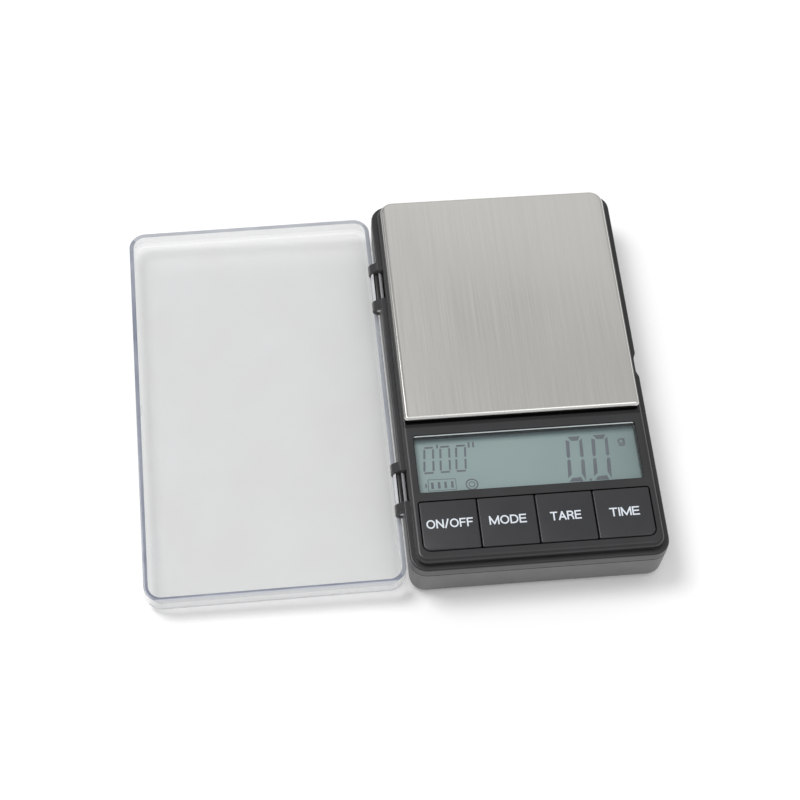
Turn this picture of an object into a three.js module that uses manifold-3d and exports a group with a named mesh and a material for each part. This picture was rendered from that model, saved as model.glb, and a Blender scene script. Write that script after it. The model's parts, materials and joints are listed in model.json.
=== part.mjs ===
// A pocket gram scale with a clear hinged cover, in millimetres, +Z up.
// The origin is on the table under the middle of the cover's hinge line.
// The cover lies open to -X, the housing stands to +X, and its back is to +Y.
import * as THREE from 'three';
import { mergeVertices } from 'three/addons/utils/BufferGeometryUtils.js';
import Module from 'manifold-3d';

const wasm = await Module();
wasm.setup();

// Housing: outline, walls and edges
const bodyCornerRadius = 5.2;
const shellWall = 1.8;
const floorThickness = 1.6;
const footProud = 0.8;
const upperWallHeight = 3.4;
const ledgeWidth = 1.8;
const ledgeRound = 0.5;
const deckRise = 2.8;
const deckRound = 0.8;
const deckSkin = 2;
const baseDraft = 0.5;
const baseRound = 1.6;
const partingChamfer = 0.15;
const lipWidth = 0.85;
const lipRise = 1;
const lipFit = 0.1;

// Two AAA cells, their bay and its contacts
const cellDiameter = 10.4;
const cellLength = 44.5;
const cellNubLength = 0.9;
const cellNubRadius = 1.9;
const cellRound = 0.5;
const cellGap = 0.3;
const cellSpacing = 0.8;
const bayWall = 1.2;
const bayRoof = 1;
const bayBackInset = 5;
const contactThickness = 0.4;
const contactHeight = 7;
const contactWidth = 8.6;
const contactBump = 0.5;
const contactBumpRadius = 1.6;
const leafReach = 2.6;
const leafSpan = 3.2;
const leafWidth = 4.4;
const contactPlay = 0.15;
const tabWidth = 2;
const tabReach = 1.1;
const tabFit = 0.2;

// Battery door: slides out to the back on two tongues
const doorEdge = 1;
const doorFit = 0.15;
const doorTongue = 0.9;
const doorTongueHeight = 0.7;
const doorRibHeight = 0.55;
const doorRailWall = 1.2;
const doorTongueEnd = 0.6;
const gripCount = 4;
const gripLength = 13;
const gripWidth = 0.8;
const gripDepth = 0.4;
const gripPitch = 2;
const gripInset = 5;

// Deck: carrier pocket, plate and carrier
const innerGap = 1.4;
const pocketSkin = 1.6;
const pocketDepth = 1.4;
const plateLength = 78.8;
const plateInset = 2.65;
const plateBackInset = 1.8;
const plateBackRadius = 4;
const plateFrontRadius = 1.2;
const plateSheet = 0.8;
const plateBend = 1;
const plateRise = 2.1;
const plateSkirt = 1.6;
const panTravel = 0.4;
const carrierFit = 0.5;
const carrierRoom = 0.7;
const carrierSkin = 1;
const carrierRib = 1.2;
const carrierRibPitch = 22;
const pocketFit = 0.6;

// Keys
const keyFrontInset = 5.05;
const keySideInset = 4.15;
const keyLength = 15.7;
const keyFrontCorner = 2.1;
const keyBackCorner = 0.6;
const keyInnerCorner = 0.5;
const keyGap = 0.35;
const keyProud = 0.1;
const keyRound = 0.35;
const keyWall = 1.2;
const keyTop = 1.3;
const keyFlange = 0.85;
const keyFlangeFront = 0.35;
const keyFlangeBack = 0.8;
const keyFlangeFit = 0.25;
const keyStemRadius = 2.2;
const keyStemDrop = 0.4;
const keyTravel = 0.4;
const keyNames = ['on_off_key', 'mode_key', 'tare_key', 'time_key'];

// Tact switches under the keys
const switchWidth = 6;
const switchHeight = 3.5;
const switchCorner = 0.5;
const plungerProud = 0.8;
const plungerRadius = 1.65;
const plungerDepth = 0.9;
const plungerFit = 0.25;

// Display
const displaySideInset = 4.8;
const displayGap = 3.2;
const displayLength = 19;
const displayToPlate = 4.45;
const windowThickness = 1;
const windowRecess = 0.25;
const windowCorner = 0.8;
const windowFit = 0.1;
const windowSeat = 0.25;
const windowBevel = 0.2;
const gasketThickness = 0.4;
const gasketWidth = 0.7;
const glassThickness = 2.2;
const glassOverlap = 0.9;
const holderOverlap = 0.7;
const holderRim = 2.2;
const zebraWidth = 2;
const zebraInset = 1.8;
const zebraEnd = 5;
const zebraFit = 0.2;

// Circuit board and what it carries
const boardThickness = 1.2;
const boardSideInset = 7.5;
const boardFrontInset = 2.7;
const boardCorner = 2;
const boardPostRadius = 2.5;
const boardPostInset = 5;
const boardPostBehind = 4.65;
const boardPostMargin = 3;
const boardRestRadius = 2;
const boardRestInset = 3.8;
const boardRestSide = 7;
const chipWidth = 10;
const chipHeight = 1.4;
const chipOffset = 9;
const buzzerRadius = 6;
const buzzerHeight = 5.5;
const buzzerHole = 1.2;
const buzzerOffset = 18;
const buzzerPort = 0.6;
const buzzerPortRing = 3;
const buzzerPorts = 6;

// Load cell: a binocular beam across the middle of the plate
const beamLength = 47;
const beamWidth = 12;
const beamHeight = 6;
const beamHeadroom = 0.7;
const beamEyeRadius = 2.1;
const beamEyeShare = 1 / 3;
const beamSlot = 1.2;
const beamHolePitch = 7;
const beamHoleInset = 3.5;
const beamFoot = 13;
const gaugeFit = 2.5;
const gaugeWidth = 9;
const gaugeThickness = 0.45;
const bossFit = 1;
const bossMargin = 1;

// Screws
const beamScrewRadius = 1.45;
const beamScrewHole = 1.65;
const beamScrewHead = 2.75;
const beamScrewHeadHeight = 1.6;
const beamScrewGrip = 4.5;
const carrierScrewSink = 0.2;
const stopScrewRadius = 1.5;
const stopScrewFit = 0.15;
const stopBossWall = 1.7;
const stopBossTop = 1.2;
const caseScrewRadius = 1;
const caseScrewHead = 2.2;
const caseScrewHeadHeight = 1.5;
const caseScrewSink = 1.5;
const caseScrewGrip = 3.4;
const caseBossRadius = 3;
const caseBossInset = 6.2;
const caseBossFront = 57;
const caseBossBack = 20;
const caseBossDrop = 1;
const boardScrewRadius = 0.95;
const boardScrewHead = 1.9;
const boardScrewHeadHeight = 1.2;
const boardScrewGrip = 2.6;
const screwFit = 0.3;
const pilotFit = 0.1;
const driveSlot = 0.6;
const driveDepth = 0.8;

// Rubber feet
const footRadius = 3.8;
const footRecess = 0.8;
const footMargin = 2.55;
const footToRail = 0.4;
const footEndInset = 7;
const footFit = 0.1;

// Hinge
const hingeOutset = 0.3;
const hingeDrop = 2.9;
const hingeSpacing = 70.8;
const hingeForward = 0.5;
const rodRadius = 0.9;
const rodInset = 0.15;
const rodFit = 0.04;
const earRadius = 2.15;
const earThickness = 3;
const earEmbed = 0.8;
const earTop = 2.8;
const earFit = 0.15;
const hingeOpening = 10.4;
const knuckleRadius = 1.75;
const knuckleFit = 0.08;
const knuckleEndFit = 0.25;
const knuckleRoom = 0.2;
const knuckleShift = 0.2;
const knuckleMouth = 1.65;
const knuckleRoot = 1.05;
const notchBacking = 1.35;

// Cover
const coverWall = 1.4;
const coverTop = 1.3;
const coverDepth = 6.7;
const coverRound = 1.5;
const coverInnerRound = 0.8;
const coverSeatGap = 0.25;
const coverRestTilt = 1.1;
const catchLength = 3;
const catchDepth = 0.3;
const catchHeight = 0.9;
const catchInset = 0.4;

// Thumb scoop in the side away from the hinge
const scoopWidth = 8.7;
const scoopDepth = 1.15;
const scoopHeight = 3.6;

// Leads inside the housing
const leadRadius = 0.6;
const sleeveRadius = 0.8;
const leadLift = 0.1;
const leadSolder = 2.6;
const leadBow = 3;
const leadSag = 1.6;
const leadRise = 3.4;
const solderInset = 5.15;
const solderPitch = 3;

// Modelling values shared by all pieces
const overrun = 1;
const embed = 0.3;
const leastRadius = 0.2;
const cornerSteps = 6;
const roundSteps = 3;
const postSides = 16;
const screwSides = 12;
const rodSides = 16;
const scoopSides = 72;
const earSteps = 12;
const leadSteps = 20;
const leadSides = 4;
const fineSteps = 3;
const coarseSteps = 1;
const crossReachShare = 0.6;
const earShoulderAngle = 112;
const degree = Math.PI / 180;

// Heights above the table, built up from the battery bay
const floorTop = footProud + floorThickness;
const cellHeight = floorTop + cellGap + cellDiameter / 2;
const bayTop = cellHeight + cellDiameter / 2 + cellGap;
const pocketUnder = bayTop + bayRoof + innerGap;
const pocketFloor = pocketUnder + pocketSkin;
const deckTop = pocketFloor + pocketDepth;
const deckUnder = deckTop - deckSkin;
const ledgeHeight = deckTop - deckRise;
const ledgeUnder = ledgeHeight - shellWall;
const partingHeight = ledgeHeight - upperWallHeight;
const plateTop = deckTop + plateRise;
const plateUnder = plateTop - plateSheet;
const carrierUnder = pocketFloor + carrierRoom;
const beamTop = pocketUnder - beamHeadroom;
const beamUnder = beamTop - beamHeight;
const keyFlangeTop = deckUnder - keyFlangeFit;
const keyUnder = keyFlangeTop - keyFlange;
const keyStemEnd = keyUnder - keyStemDrop;
const switchTop = keyStemEnd - plungerProud;
const boardTop = switchTop - switchHeight;
const boardUnder = boardTop - boardThickness;
const windowTop = deckTop - windowRecess;
const windowUnder = windowTop - windowThickness;
const glassTop = deckUnder - gasketThickness;
const glassUnder = glassTop - glassThickness;
const hingeHeight = ledgeHeight - hingeDrop;
const caseJoint = partingHeight - caseBossDrop;

// Housing width: the cells along X, then the door's tongue and rail, a foot and a margin on each side
const bayHalf = (cellLength + contactBump + leafReach) / 2 + contactThickness + contactPlay;
const doorHalf = bayHalf + doorEdge;
const grooveHalf = doorHalf + doorTongue + doorFit;
const footX = grooveHalf + doorRailWall + footToRail + footRadius;
const bodyWidth = 2 * (footX + footRadius + footMargin);

// Housing length: keys, display and plate in one line
const bodyLength = keyFrontInset + keyLength + displayGap + displayLength + displayToPlate
  + plateLength + plateBackInset;

// Places along the housing, front to back
const bodyFront = -bodyLength / 2;
const bodyBack = bodyLength / 2;
const keyFront = bodyFront + keyFrontInset;
const keyBack = keyFront + keyLength;
const keyMiddle = (keyFront + keyBack) / 2;
const displayFront = keyBack + displayGap;
const displayBack = displayFront + displayLength;
const displayMiddle = (displayFront + displayBack) / 2;
const plateFront = displayBack + displayToPlate;
const plateBack = bodyBack - plateBackInset;
const plateMiddle = (plateFront + plateBack) / 2;
const plateWidth = bodyWidth - 2 * plateInset;
const boardFront = bodyFront + boardFrontInset;
const boardPostY = displayBack + boardPostBehind;
const boardBack = boardPostY + boardPostMargin;
const boardWidth = bodyWidth - 2 * boardSideInset;
const bayBack = bodyBack - bayBackInset;
const cellPitch = cellDiameter + cellSpacing;
const bayDepth = cellPitch + cellDiameter + 2 * cellGap;
const bayFront = bayBack - bayDepth;
const bayMiddle = (bayFront + bayBack) / 2;
const bodyX = hingeOutset + bodyWidth / 2;

const displayWidth = bodyWidth - 2 * displaySideInset;
const keyBlockWidth = bodyWidth - 2 * keySideInset;
const keyWidth = (keyBlockWidth - (keyNames.length - 1) * keyGap) / keyNames.length;
const glassWidth = displayWidth + 2 * glassOverlap - windowSeat;
const glassLength = displayLength + 2 * glassOverlap;
const beamFreeX = beamLength / 2 - beamHoleInset - beamHolePitch / 2;
const beamEyeX = beamFreeX * beamEyeShare;
const gaugeLength = 2 * (beamFreeX - beamFoot / 2 - gaugeFit);

const material = (color, roughness, metalness = 0, opacity = 1) => new THREE.MeshStandardMaterial({
  color, roughness, metalness, opacity, transparent: opacity < 1,
});
const blackPlastic = material(0x2a2b2d, 0.4);
const keyPlastic = material(0x323337, 0.45);
const clearPlastic = material(0xe6ebf0, 0.08, 0, 0.35);
const brushedSteel = material(0xb5b3ad, 0.35, 1);
const screwSteel = material(0x9a9a98, 0.4, 1);
const aluminium = material(0xb9bcc0, 0.4, 1);
const glassGrey = material(0x8d9d9d, 0.2);
const rubberBlack = material(0x1b1b1c, 0.85);
const whitePlastic = material(0xe2e2dd, 0.5);
const boardGreen = material(0x1f5a38, 0.5);
const chipBlack = material(0x161617, 0.5);
const siliconeWhite = material(0xe9e9e4, 0.6);
const cellWrap = material(0x3b5f86, 0.4);
const contactNickel = material(0xc4c1b6, 0.3, 1);
const leadRed = material(0xa32a22, 0.5);
const leadBlack = material(0x1c1c1c, 0.5);
const foamBlack = material(0x202020, 0.95);

function solidOf(geometry) {
  geometry.deleteAttribute('normal');
  geometry.deleteAttribute('uv');
  const merged = mergeVertices(geometry);
  return new wasm.Manifold(new wasm.Mesh({
    numProp: 3,
    vertProperties: new Float32Array(merged.attributes.position.array),
    triVerts: new Uint32Array(merged.index.array),
  }));
}

function meshOf(name, solid, look) {
  const data = solid.getMesh();
  const geometry = new THREE.BufferGeometry();
  geometry.setAttribute('position', new THREE.BufferAttribute(data.vertProperties, 3));
  geometry.setIndex(new THREE.BufferAttribute(data.triVerts, 1));
  geometry.computeVertexNormals();
  const mesh = new THREE.Mesh(geometry, look);
  mesh.name = name;
  return mesh;
}

const join = (solids) => solids.reduce((whole, piece) => whole.add(piece));
const cut = (solid, cutters) => cutters.reduce((rest, cutter) => rest.subtract(cutter), solid);
const bothSides = [-1, 1];

// Points of a rounded rectangle; radii run right-back, left-back, left-front, right-front
function outline(width, length, radii, inset, steps) {
  const points = [];
  const signs = [[1, 1], [-1, 1], [-1, -1], [1, -1]];
  signs.forEach(([signX, signY], corner) => {
    const radius = Math.max(radii[corner] - inset, leastRadius);
    for (let step = 0; step <= steps; step += 1) {
      const angle = (corner + step / steps) * Math.PI / 2;
      const x = signX * (width / 2 - inset - radius) + radius * Math.cos(angle);
      const y = signY * (length / 2 - inset - radius) + radius * Math.sin(angle);
      points.push([x, y]);
    }
  });
  return points;
}

// A maker of closed solids through rounded rectangles; a section is [inset, height], from the bottom up
const loftWith = (steps) => (width, length, radii, sections) => {
  const positions = [];
  const index = [];
  const count = radii.length * (steps + 1);
  sections.forEach(([inset, height]) => {
    outline(width, length, radii, inset, steps).forEach(([x, y]) => positions.push(x, y, height));
  });
  for (let ring = 0; ring < sections.length - 1; ring += 1) {
    for (let k = 0; k < count; k += 1) {
      const here = ring * count + k;
      const next = ring * count + (k + 1) % count;
      index.push(here, next, next + count, here, next + count, here + count);
    }
  }
  const lastRing = (sections.length - 1) * count;
  for (let k = 1; k < count - 1; k += 1) {
    index.push(0, k + 1, k);
    index.push(lastRing, lastRing + k, lastRing + k + 1);
  }
  const geometry = new THREE.BufferGeometry();
  geometry.setAttribute('position', new THREE.Float32BufferAttribute(positions, 3));
  geometry.setIndex(index);
  return solidOf(geometry);
};
const loft = loftWith(cornerSteps);
const fineLoft = loftWith(fineSteps);
const coarseLoft = loftWith(coarseSteps);

const sameRadius = (radius) => [radius, radius, radius, radius];

// Sections of a rounded top edge, and of a rounded bottom edge
function roundOver(inset, top, radius) {
  const sections = [];
  for (let step = 0; step <= roundSteps; step += 1) {
    const angle = step / roundSteps * Math.PI / 2;
    sections.push([inset + radius * (1 - Math.cos(angle)), top - radius * (1 - Math.sin(angle))]);
  }
  return sections;
}

function roundUnder(inset, bottom, radius) {
  const sections = [];
  for (let step = 0; step <= roundSteps; step += 1) {
    const angle = step / roundSteps * Math.PI / 2;
    sections.push([inset + radius * (1 - Math.sin(angle)), bottom + radius * (1 - Math.cos(angle))]);
  }
  return sections;
}

function slab(width, length, radius, bottom, top, x = 0, y = 0, maker = fineLoft) {
  return maker(width, length, sameRadius(radius), [[0, bottom], [0, top]]).translate([x, y, 0]);
}

function block(x0, x1, y0, y1, z0, z1) {
  const geometry = new THREE.BoxGeometry(x1 - x0, y1 - y0, z1 - z0);
  geometry.translate((x0 + x1) / 2, (y0 + y1) / 2, (z0 + z1) / 2);
  return solidOf(geometry);
}

const postWith = (sides) => (radius, bottom, top, x, y) => {
  const geometry = new THREE.CylinderGeometry(radius, radius, top - bottom, sides);
  geometry.rotateX(Math.PI / 2);
  geometry.translate(x, y, (bottom + top) / 2);
  return solidOf(geometry);
};
const post = postWith(postSides);
const slimPost = postWith(screwSides);
const widePost = postWith(scoopSides);

function barAlongY(radius, y0, y1, x, z) {
  const geometry = new THREE.CylinderGeometry(radius, radius, y1 - y0, rodSides);
  geometry.translate(x, (y0 + y1) / 2, z);
  return solidOf(geometry);
}

// A shape drawn in X and Z, made thick along Y about y = middle
function plateAlongY(shape, thickness, middle) {
  const geometry = new THREE.ExtrudeGeometry(shape, {
    depth: thickness, bevelEnabled: false, curveSegments: earSteps,
  });
  geometry.rotateX(Math.PI / 2);
  geometry.translate(0, middle + thickness / 2, 0);
  return solidOf(geometry);
}

const revolveWith = (sides) => (points) => {
  const profile = points.map(([radius, height]) => new THREE.Vector2(radius, height));
  const geometry = new THREE.LatheGeometry(profile, sides);
  geometry.rotateX(Math.PI / 2);
  return solidOf(geometry);
};
const revolve = revolveWith(postSides);
const slimRevolve = revolveWith(screwSides);

// A screw standing on its head, with a cross recess in the head's underside
function screw(headRadius, headHeight, shankRadius, length) {
  const body = slimRevolve([
    [0, 0], [headRadius, 0], [headRadius, headHeight], [shankRadius, headHeight],
    [shankRadius, headHeight + length], [0, headHeight + length],
  ]);
  const reach = headRadius * crossReachShare;
  const slots = [
    block(-reach, reach, -driveSlot / 2, driveSlot / 2, -overrun, driveDepth),
    block(-driveSlot / 2, driveSlot / 2, -reach, reach, -overrun, driveDepth),
  ];
  return cut(body, slots);
}

const bodyOutline = (sections) => loft(bodyWidth, bodyLength, sameRadius(bodyCornerRadius), sections);

const plateOutline = (sections) => loft(plateWidth, plateLength,
  [plateBackRadius, plateBackRadius, plateFrontRadius, plateFrontRadius], sections)
  .translate([0, plateMiddle, 0]);

const lowerOuter = () => bodyOutline([
  ...roundUnder(baseDraft, footProud, baseRound),
  [0, partingHeight - partingChamfer], [partingChamfer, partingHeight],
]);

// Places that repeat
const caseScrewPlaces = bothSides.flatMap((side) => [
  [side * (bodyWidth / 2 - caseBossInset), bodyFront + caseBossFront],
  [side * (bodyWidth / 2 - caseBossInset), bodyBack - caseBossBack],
]);
const boardPostPlaces = [-1, 0, 1].map((side) => [side * (boardWidth / 2 - boardPostInset), boardPostY]);
const boardRestPlaces = bothSides.map((side) => [
  side * (boardWidth / 2 - boardRestSide), boardFront + boardRestInset,
]);
const footPlaces = bothSides.flatMap((side) => bothSides.map((end) => [
  side * footX, end * (bodyLength / 2 - footEndInset),
]));
const beamScrewOffsets = bothSides.map((side) => side * beamHolePitch / 2);
const hingePlaces = bothSides.map((end) => end * hingeSpacing / 2 - hingeForward);
const hingeX = -bodyWidth / 2 - hingeOutset;
const knuckleReach = knuckleRadius + knuckleShift;
const notchX = hingeX + knuckleReach + knuckleRoom;
const notchFloor = hingeHeight - knuckleReach - knuckleRoom;
const carrierBossWidth = beamHolePitch + 2 * beamHoleInset - bossMargin;
const carrierBossLength = beamWidth;

// Ears of the hinge, bored for the rod, drawn about the hinge axis
function hingeEar(y) {
  const shape = new THREE.Shape();
  const wallX = hingeOutset + earEmbed;
  const jointZ = partingHeight - hingeHeight + lipFit;
  shape.moveTo(wallX, earTop);
  shape.lineTo(hingeOutset, earTop);
  shape.absarc(0, 0, earRadius, earShoulderAngle * degree, 270 * degree, false);
  shape.lineTo(earFit, -earRadius);
  shape.lineTo(earFit, jointZ);
  shape.lineTo(wallX, jointZ);
  shape.closePath();
  const bore = barAlongY(rodRadius + rodFit, y - earThickness, y + earThickness, 0, 0);
  return plateAlongY(shape, earThickness, y).subtract(bore).translate([hingeX, 0, hingeHeight]);
}
const knuckleNotch = (y) => block(
  hingeX - knuckleRadius - overrun, notchX,
  y - hingeOpening / 2, y + hingeOpening / 2,
  notchFloor, ledgeHeight + overrun,
);
const notchWall = (y, bottom, top) => block(
  notchX - embed, notchX + notchBacking,
  y - hingeOpening / 2 - bayWall, y + hingeOpening / 2 + bayWall, bottom, top,
);

const rodBores = () => {
  const reach = hingeOpening / 2 + earThickness;
  return hingePlaces.map((y) => barAlongY(rodRadius + rodFit, y - reach, y + reach, hingeX, hingeHeight));
};

function upperHousing() {
  const outer = bodyOutline([
    [partingChamfer, partingHeight], [0, partingHeight + partingChamfer],
    ...roundOver(0, ledgeHeight, ledgeRound),
    [ledgeWidth, ledgeHeight],
    ...roundOver(ledgeWidth, deckTop, deckRound),
  ]);
  const rebateTop = partingHeight + lipRise + lipFit;
  const cavity = bodyOutline([
    [lipWidth, partingHeight - overrun], [lipWidth, rebateTop], [shellWall, rebateTop],
    [shellWall, ledgeUnder], [ledgeWidth + pocketSkin, ledgeUnder], [ledgeWidth + pocketSkin, deckUnder],
  ]);
  const pocketEdge = plateSheet + carrierFit - pocketFit;
  const bedEdge = pocketEdge - ledgeRound;
  const pocketBed = plateOutline([[bedEdge, pocketUnder], [bedEdge, deckUnder + embed]]).intersect(
    bodyOutline([[ledgeWidth + embed, pocketUnder - overrun], [ledgeWidth + embed, deckTop]]));
  const inside = [
    pocketBed,
    ...caseScrewPlaces.map(([x, y]) => post(caseBossRadius, caseJoint, pocketUnder + embed, x, y)),
    ...boardPostPlaces.map(([x, y]) => post(boardPostRadius, boardTop, deckUnder + embed, x, y)),
    ...hingePlaces.map((y) => notchWall(y, partingHeight, ledgeUnder + embed)),
  ];
  const ears = hingePlaces.flatMap((y) => bothSides.map((end) => (
    hingeEar(y + end * (hingeOpening + earThickness) / 2)
  )));
  const scoopRadius = (scoopWidth ** 2 / 4 + scoopDepth ** 2) / (2 * scoopDepth);
  const cutters = [
    plateOutline([[pocketEdge, pocketFloor], [pocketEdge, deckTop + overrun]]),
    fineLoft(keyBlockWidth + 2 * keyGap, keyLength + 2 * keyGap, keyCorners.map((r) => r + keyGap),
      [[0, deckUnder - overrun], [0, deckTop + overrun]]).translate([0, keyMiddle, 0]),
    slab(displayWidth + 2 * windowFit, displayLength + 2 * windowFit, windowCorner,
      windowUnder, deckTop + overrun, 0, displayMiddle),
    slab(displayWidth - 2 * windowSeat, displayLength - 2 * windowSeat, windowCorner,
      deckUnder - overrun, deckTop, 0, displayMiddle),
    slab(carrierBossWidth + 2 * bossFit, carrierBossLength + 2 * bossFit, bossMargin,
      pocketUnder - overrun, pocketFloor + overrun, beamFreeX, plateMiddle),
    widePost(scoopRadius, ledgeHeight - scoopHeight, ledgeHeight + overrun,
      bodyWidth / 2 - scoopDepth + scoopRadius, 0),
    ...caseScrewPlaces.map(([x, y]) => slimPost(caseScrewRadius + pilotFit, caseJoint - overrun,
      caseJoint + caseScrewGrip + pilotFit, x, y)),
    ...boardPostPlaces.map(([x, y]) => slimPost(boardScrewRadius + pilotFit, boardTop - overrun,
      boardTop + boardScrewGrip + pilotFit, x, y)),
  ];
  const shell = cut(join([outer.subtract(cavity), ...inside]), [
    ...cutters, ...hingePlaces.map(knuckleNotch), ...rodBores(),
  ]);
  return join([shell, ...ears]);
}

const doorFront = bayFront - doorEdge;
const railTop = floorTop + doorTongueHeight + doorFit + doorRailWall;
const tongueTop = floorTop + doorRibHeight;

function lowerHousing() {
  const cavity = bodyOutline([
    [shellWall + baseDraft, floorTop], [shellWall, partingHeight + overrun],
  ]);
  const tongue = bodyOutline([
    [lipWidth + lipFit, partingHeight - embed], [lipWidth + lipFit, partingHeight + lipRise],
  ]).subtract(bodyOutline([
    [shellWall, partingHeight - overrun], [shellWall, partingHeight + lipRise + overrun],
  ]));
  const tongueBreaks = hingePlaces.map((y) => block(
    hingeX, notchX + notchBacking,
    y - hingeOpening / 2 - bayWall - lipFit, y + hingeOpening / 2 + bayWall + lipFit,
    partingHeight, partingHeight + lipRise + overrun,
  ));
  const grooveTop = tongueTop + doorFit;
  const beamFixedX = -beamFreeX;
  const stopBoss = stopScrewRadius + stopBossWall;
  const added = [
    cut(tongue, tongueBreaks),
    block(-bayHalf - bayWall, bayHalf + bayWall, bayFront - bayWall, bayBack + bayWall,
      floorTop - embed, bayTop + bayRoof),
    block(-grooveHalf - doorRailWall, grooveHalf + doorRailWall, doorFront - doorRailWall,
      bodyBack - shellWall, floorTop - embed, railTop),
    slab(beamFoot, beamWidth, bossMargin, floorTop - embed, beamUnder, beamFixedX, plateMiddle),
    post(stopBoss, floorTop - embed, beamUnder - panTravel - stopBossTop, beamFreeX, plateMiddle),
    ...caseScrewPlaces.map(([x, y]) => post(caseBossRadius, floorTop - embed, caseJoint, x, y)),
    ...boardRestPlaces.map(([x, y]) => post(boardRestRadius, floorTop - embed, boardUnder, x, y)),
    ...hingePlaces.map((y) => notchWall(y, notchFloor - bayWall, partingHeight)),
  ];
  const portAngle = 2 * Math.PI / buzzerPorts;
  const ports = Array.from({ length: buzzerPorts }, (_, k) => slimPost(buzzerPort, 0, floorTop + overrun,
    buzzerOffset + buzzerPortRing * Math.cos(k * portAngle),
    displayMiddle + buzzerPortRing * Math.sin(k * portAngle)));
  const cutters = [
    block(-bayHalf, bayHalf, bayFront, bayBack, 0, bayTop),
    block(-doorHalf - doorFit, doorHalf + doorFit, doorFront - doorFit, bodyBack + overrun, 0, grooveTop),
    block(-grooveHalf, grooveHalf, doorFront - doorFit, bodyBack + overrun, floorTop - doorFit, grooveTop),
    ...bothSides.map((side) => block(bayHalf - embed, bayHalf + bayWall + doorRailWall + overrun,
      bayMiddle + side * cellPitch / 2 - tabWidth / 2 - tabFit,
      bayMiddle + side * cellPitch / 2 + tabWidth / 2 + tabFit,
      cellHeight - contactThickness / 2 - tabFit, cellHeight + contactThickness / 2 + tabFit)),
    ...beamScrewOffsets.flatMap((offset) => [
      slimPost(beamScrewHole, 0, beamUnder + overrun, beamFixedX + offset, plateMiddle),
      post(beamScrewHead + screwFit, 0, footProud + beamScrewHeadHeight + screwFit,
        beamFixedX + offset, plateMiddle),
    ]),
    slimPost(stopScrewRadius + stopScrewFit, 0, beamUnder, beamFreeX, plateMiddle),
    ...caseScrewPlaces.flatMap(([x, y]) => [
      slimPost(caseScrewRadius + screwFit, 0, caseJoint + overrun, x, y),
      post(caseScrewHead + screwFit, 0, footProud + caseScrewSink + caseScrewHeadHeight, x, y),
    ]),
    ...footPlaces.map(([x, y]) => post(footRadius + footFit, 0, footProud + footRecess, x, y)),
    ...ports,
    ...hingePlaces.map(knuckleNotch),
    ...rodBores(),
  ];
  const shell = lowerOuter().subtract(cavity);
  return cut(join([shell, ...added]), cutters);
}

function batteryDoor() {
  const back = bodyBack + overrun;
  const body = block(-doorHalf, doorHalf, doorFront, back, 0, floorTop)
    .add(block(-doorHalf, doorHalf, bodyBack - shellWall, back, 0, tongueTop))
    .intersect(lowerOuter());
  const tongueEnd = bodyBack - shellWall - doorTongueEnd;
  const tongues = bothSides.flatMap((side) => {
    const inner = side * (doorHalf - doorEdge + doorFit);
    const edge = side * doorHalf;
    const tip = side * (doorHalf + doorTongue);
    const span = (a, b) => [Math.min(a, b), Math.max(a, b)];
    return [
      block(...span(inner, edge), doorFront, tongueEnd, floorTop - embed, tongueTop),
      block(...span(inner, tip), doorFront, tongueEnd, floorTop, tongueTop),
    ];
  });
  const grips = Array.from({ length: gripCount }, (_, k) => {
    const y = doorFront + gripInset + k * gripPitch;
    return block(-gripLength / 2, gripLength / 2, y, y + gripWidth, 0, footProud + gripDepth);
  });
  return cut(join([body, ...tongues]), grips);
}

// A key about its own middle: cap, hollow underside, retaining flange and stem
const keyCorners = [keyBackCorner, keyBackCorner, keyFrontCorner, keyFrontCorner];
function key(isFirst, isLast) {
  const isOuter = [isLast, isFirst, isFirst, isLast];
  const radii = keyCorners.map((radius, corner) => (isOuter[corner] ? radius : keyInnerCorner));
  const sections = [[0, keyUnder], ...roundOver(0, deckTop + keyProud, keyRound)];
  const cap = fineLoft(keyWidth, keyLength, radii, sections);
  const flange = fineLoft(keyWidth, keyLength + 2 * keyGap + keyFlangeFront + keyFlangeBack, radii,
    [[0, keyUnder], [0, keyFlangeTop]]).translate([0, (keyFlangeBack - keyFlangeFront) / 2, 0]);
  const hollow = block(-keyWidth / 2 + keyWall, keyWidth / 2 - keyWall, -keyLength / 2 + keyWall,
    keyLength / 2 - keyWall, keyUnder - overrun, deckTop + keyProud - keyTop);
  const stem = post(keyStemRadius, keyStemEnd, deckTop + keyProud - keyTop + embed, 0, 0);
  return cap.add(flange).subtract(hollow).add(stem);
}

function keySwitch() {
  const body = slab(switchWidth, switchWidth, switchCorner, boardTop, switchTop, 0, 0, coarseLoft);
  const boreFloor = switchTop - plungerDepth - keyTravel - plungerFit;
  return body.subtract(post(plungerRadius + plungerFit, boreFloor, switchTop + overrun, 0, 0));
}

const plunger = () => post(plungerRadius, switchTop - plungerDepth, keyStemEnd, 0, 0);

function displayWindow() {
  return loft(displayWidth, displayLength, sameRadius(windowCorner), [
    [0, windowUnder], [0, windowTop - windowBevel], [windowBevel, windowTop],
  ]).translate([0, displayMiddle, 0]);
}

function displayGasket() {
  const innerWidth = displayWidth - 2 * windowSeat;
  const innerLength = displayLength - 2 * windowSeat;
  const outer = slab(innerWidth + 2 * gasketWidth, innerLength + 2 * gasketWidth, windowCorner,
    glassTop, deckUnder, 0, displayMiddle);
  return outer.subtract(slab(innerWidth, innerLength, windowCorner, glassTop - overrun,
    deckUnder + overrun, 0, displayMiddle));
}

const holderWidth = glassWidth + 2 * holderOverlap;
const holderLength = glassLength + 2 * holderOverlap;
const zebraHalf = glassWidth / 2 - zebraEnd;
const zebraFront = displayMiddle - glassLength / 2 + zebraInset;

const displayGlass = () => block(-glassWidth / 2, glassWidth / 2, displayMiddle - glassLength / 2,
  displayMiddle + glassLength / 2, glassUnder, glassTop);

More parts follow.
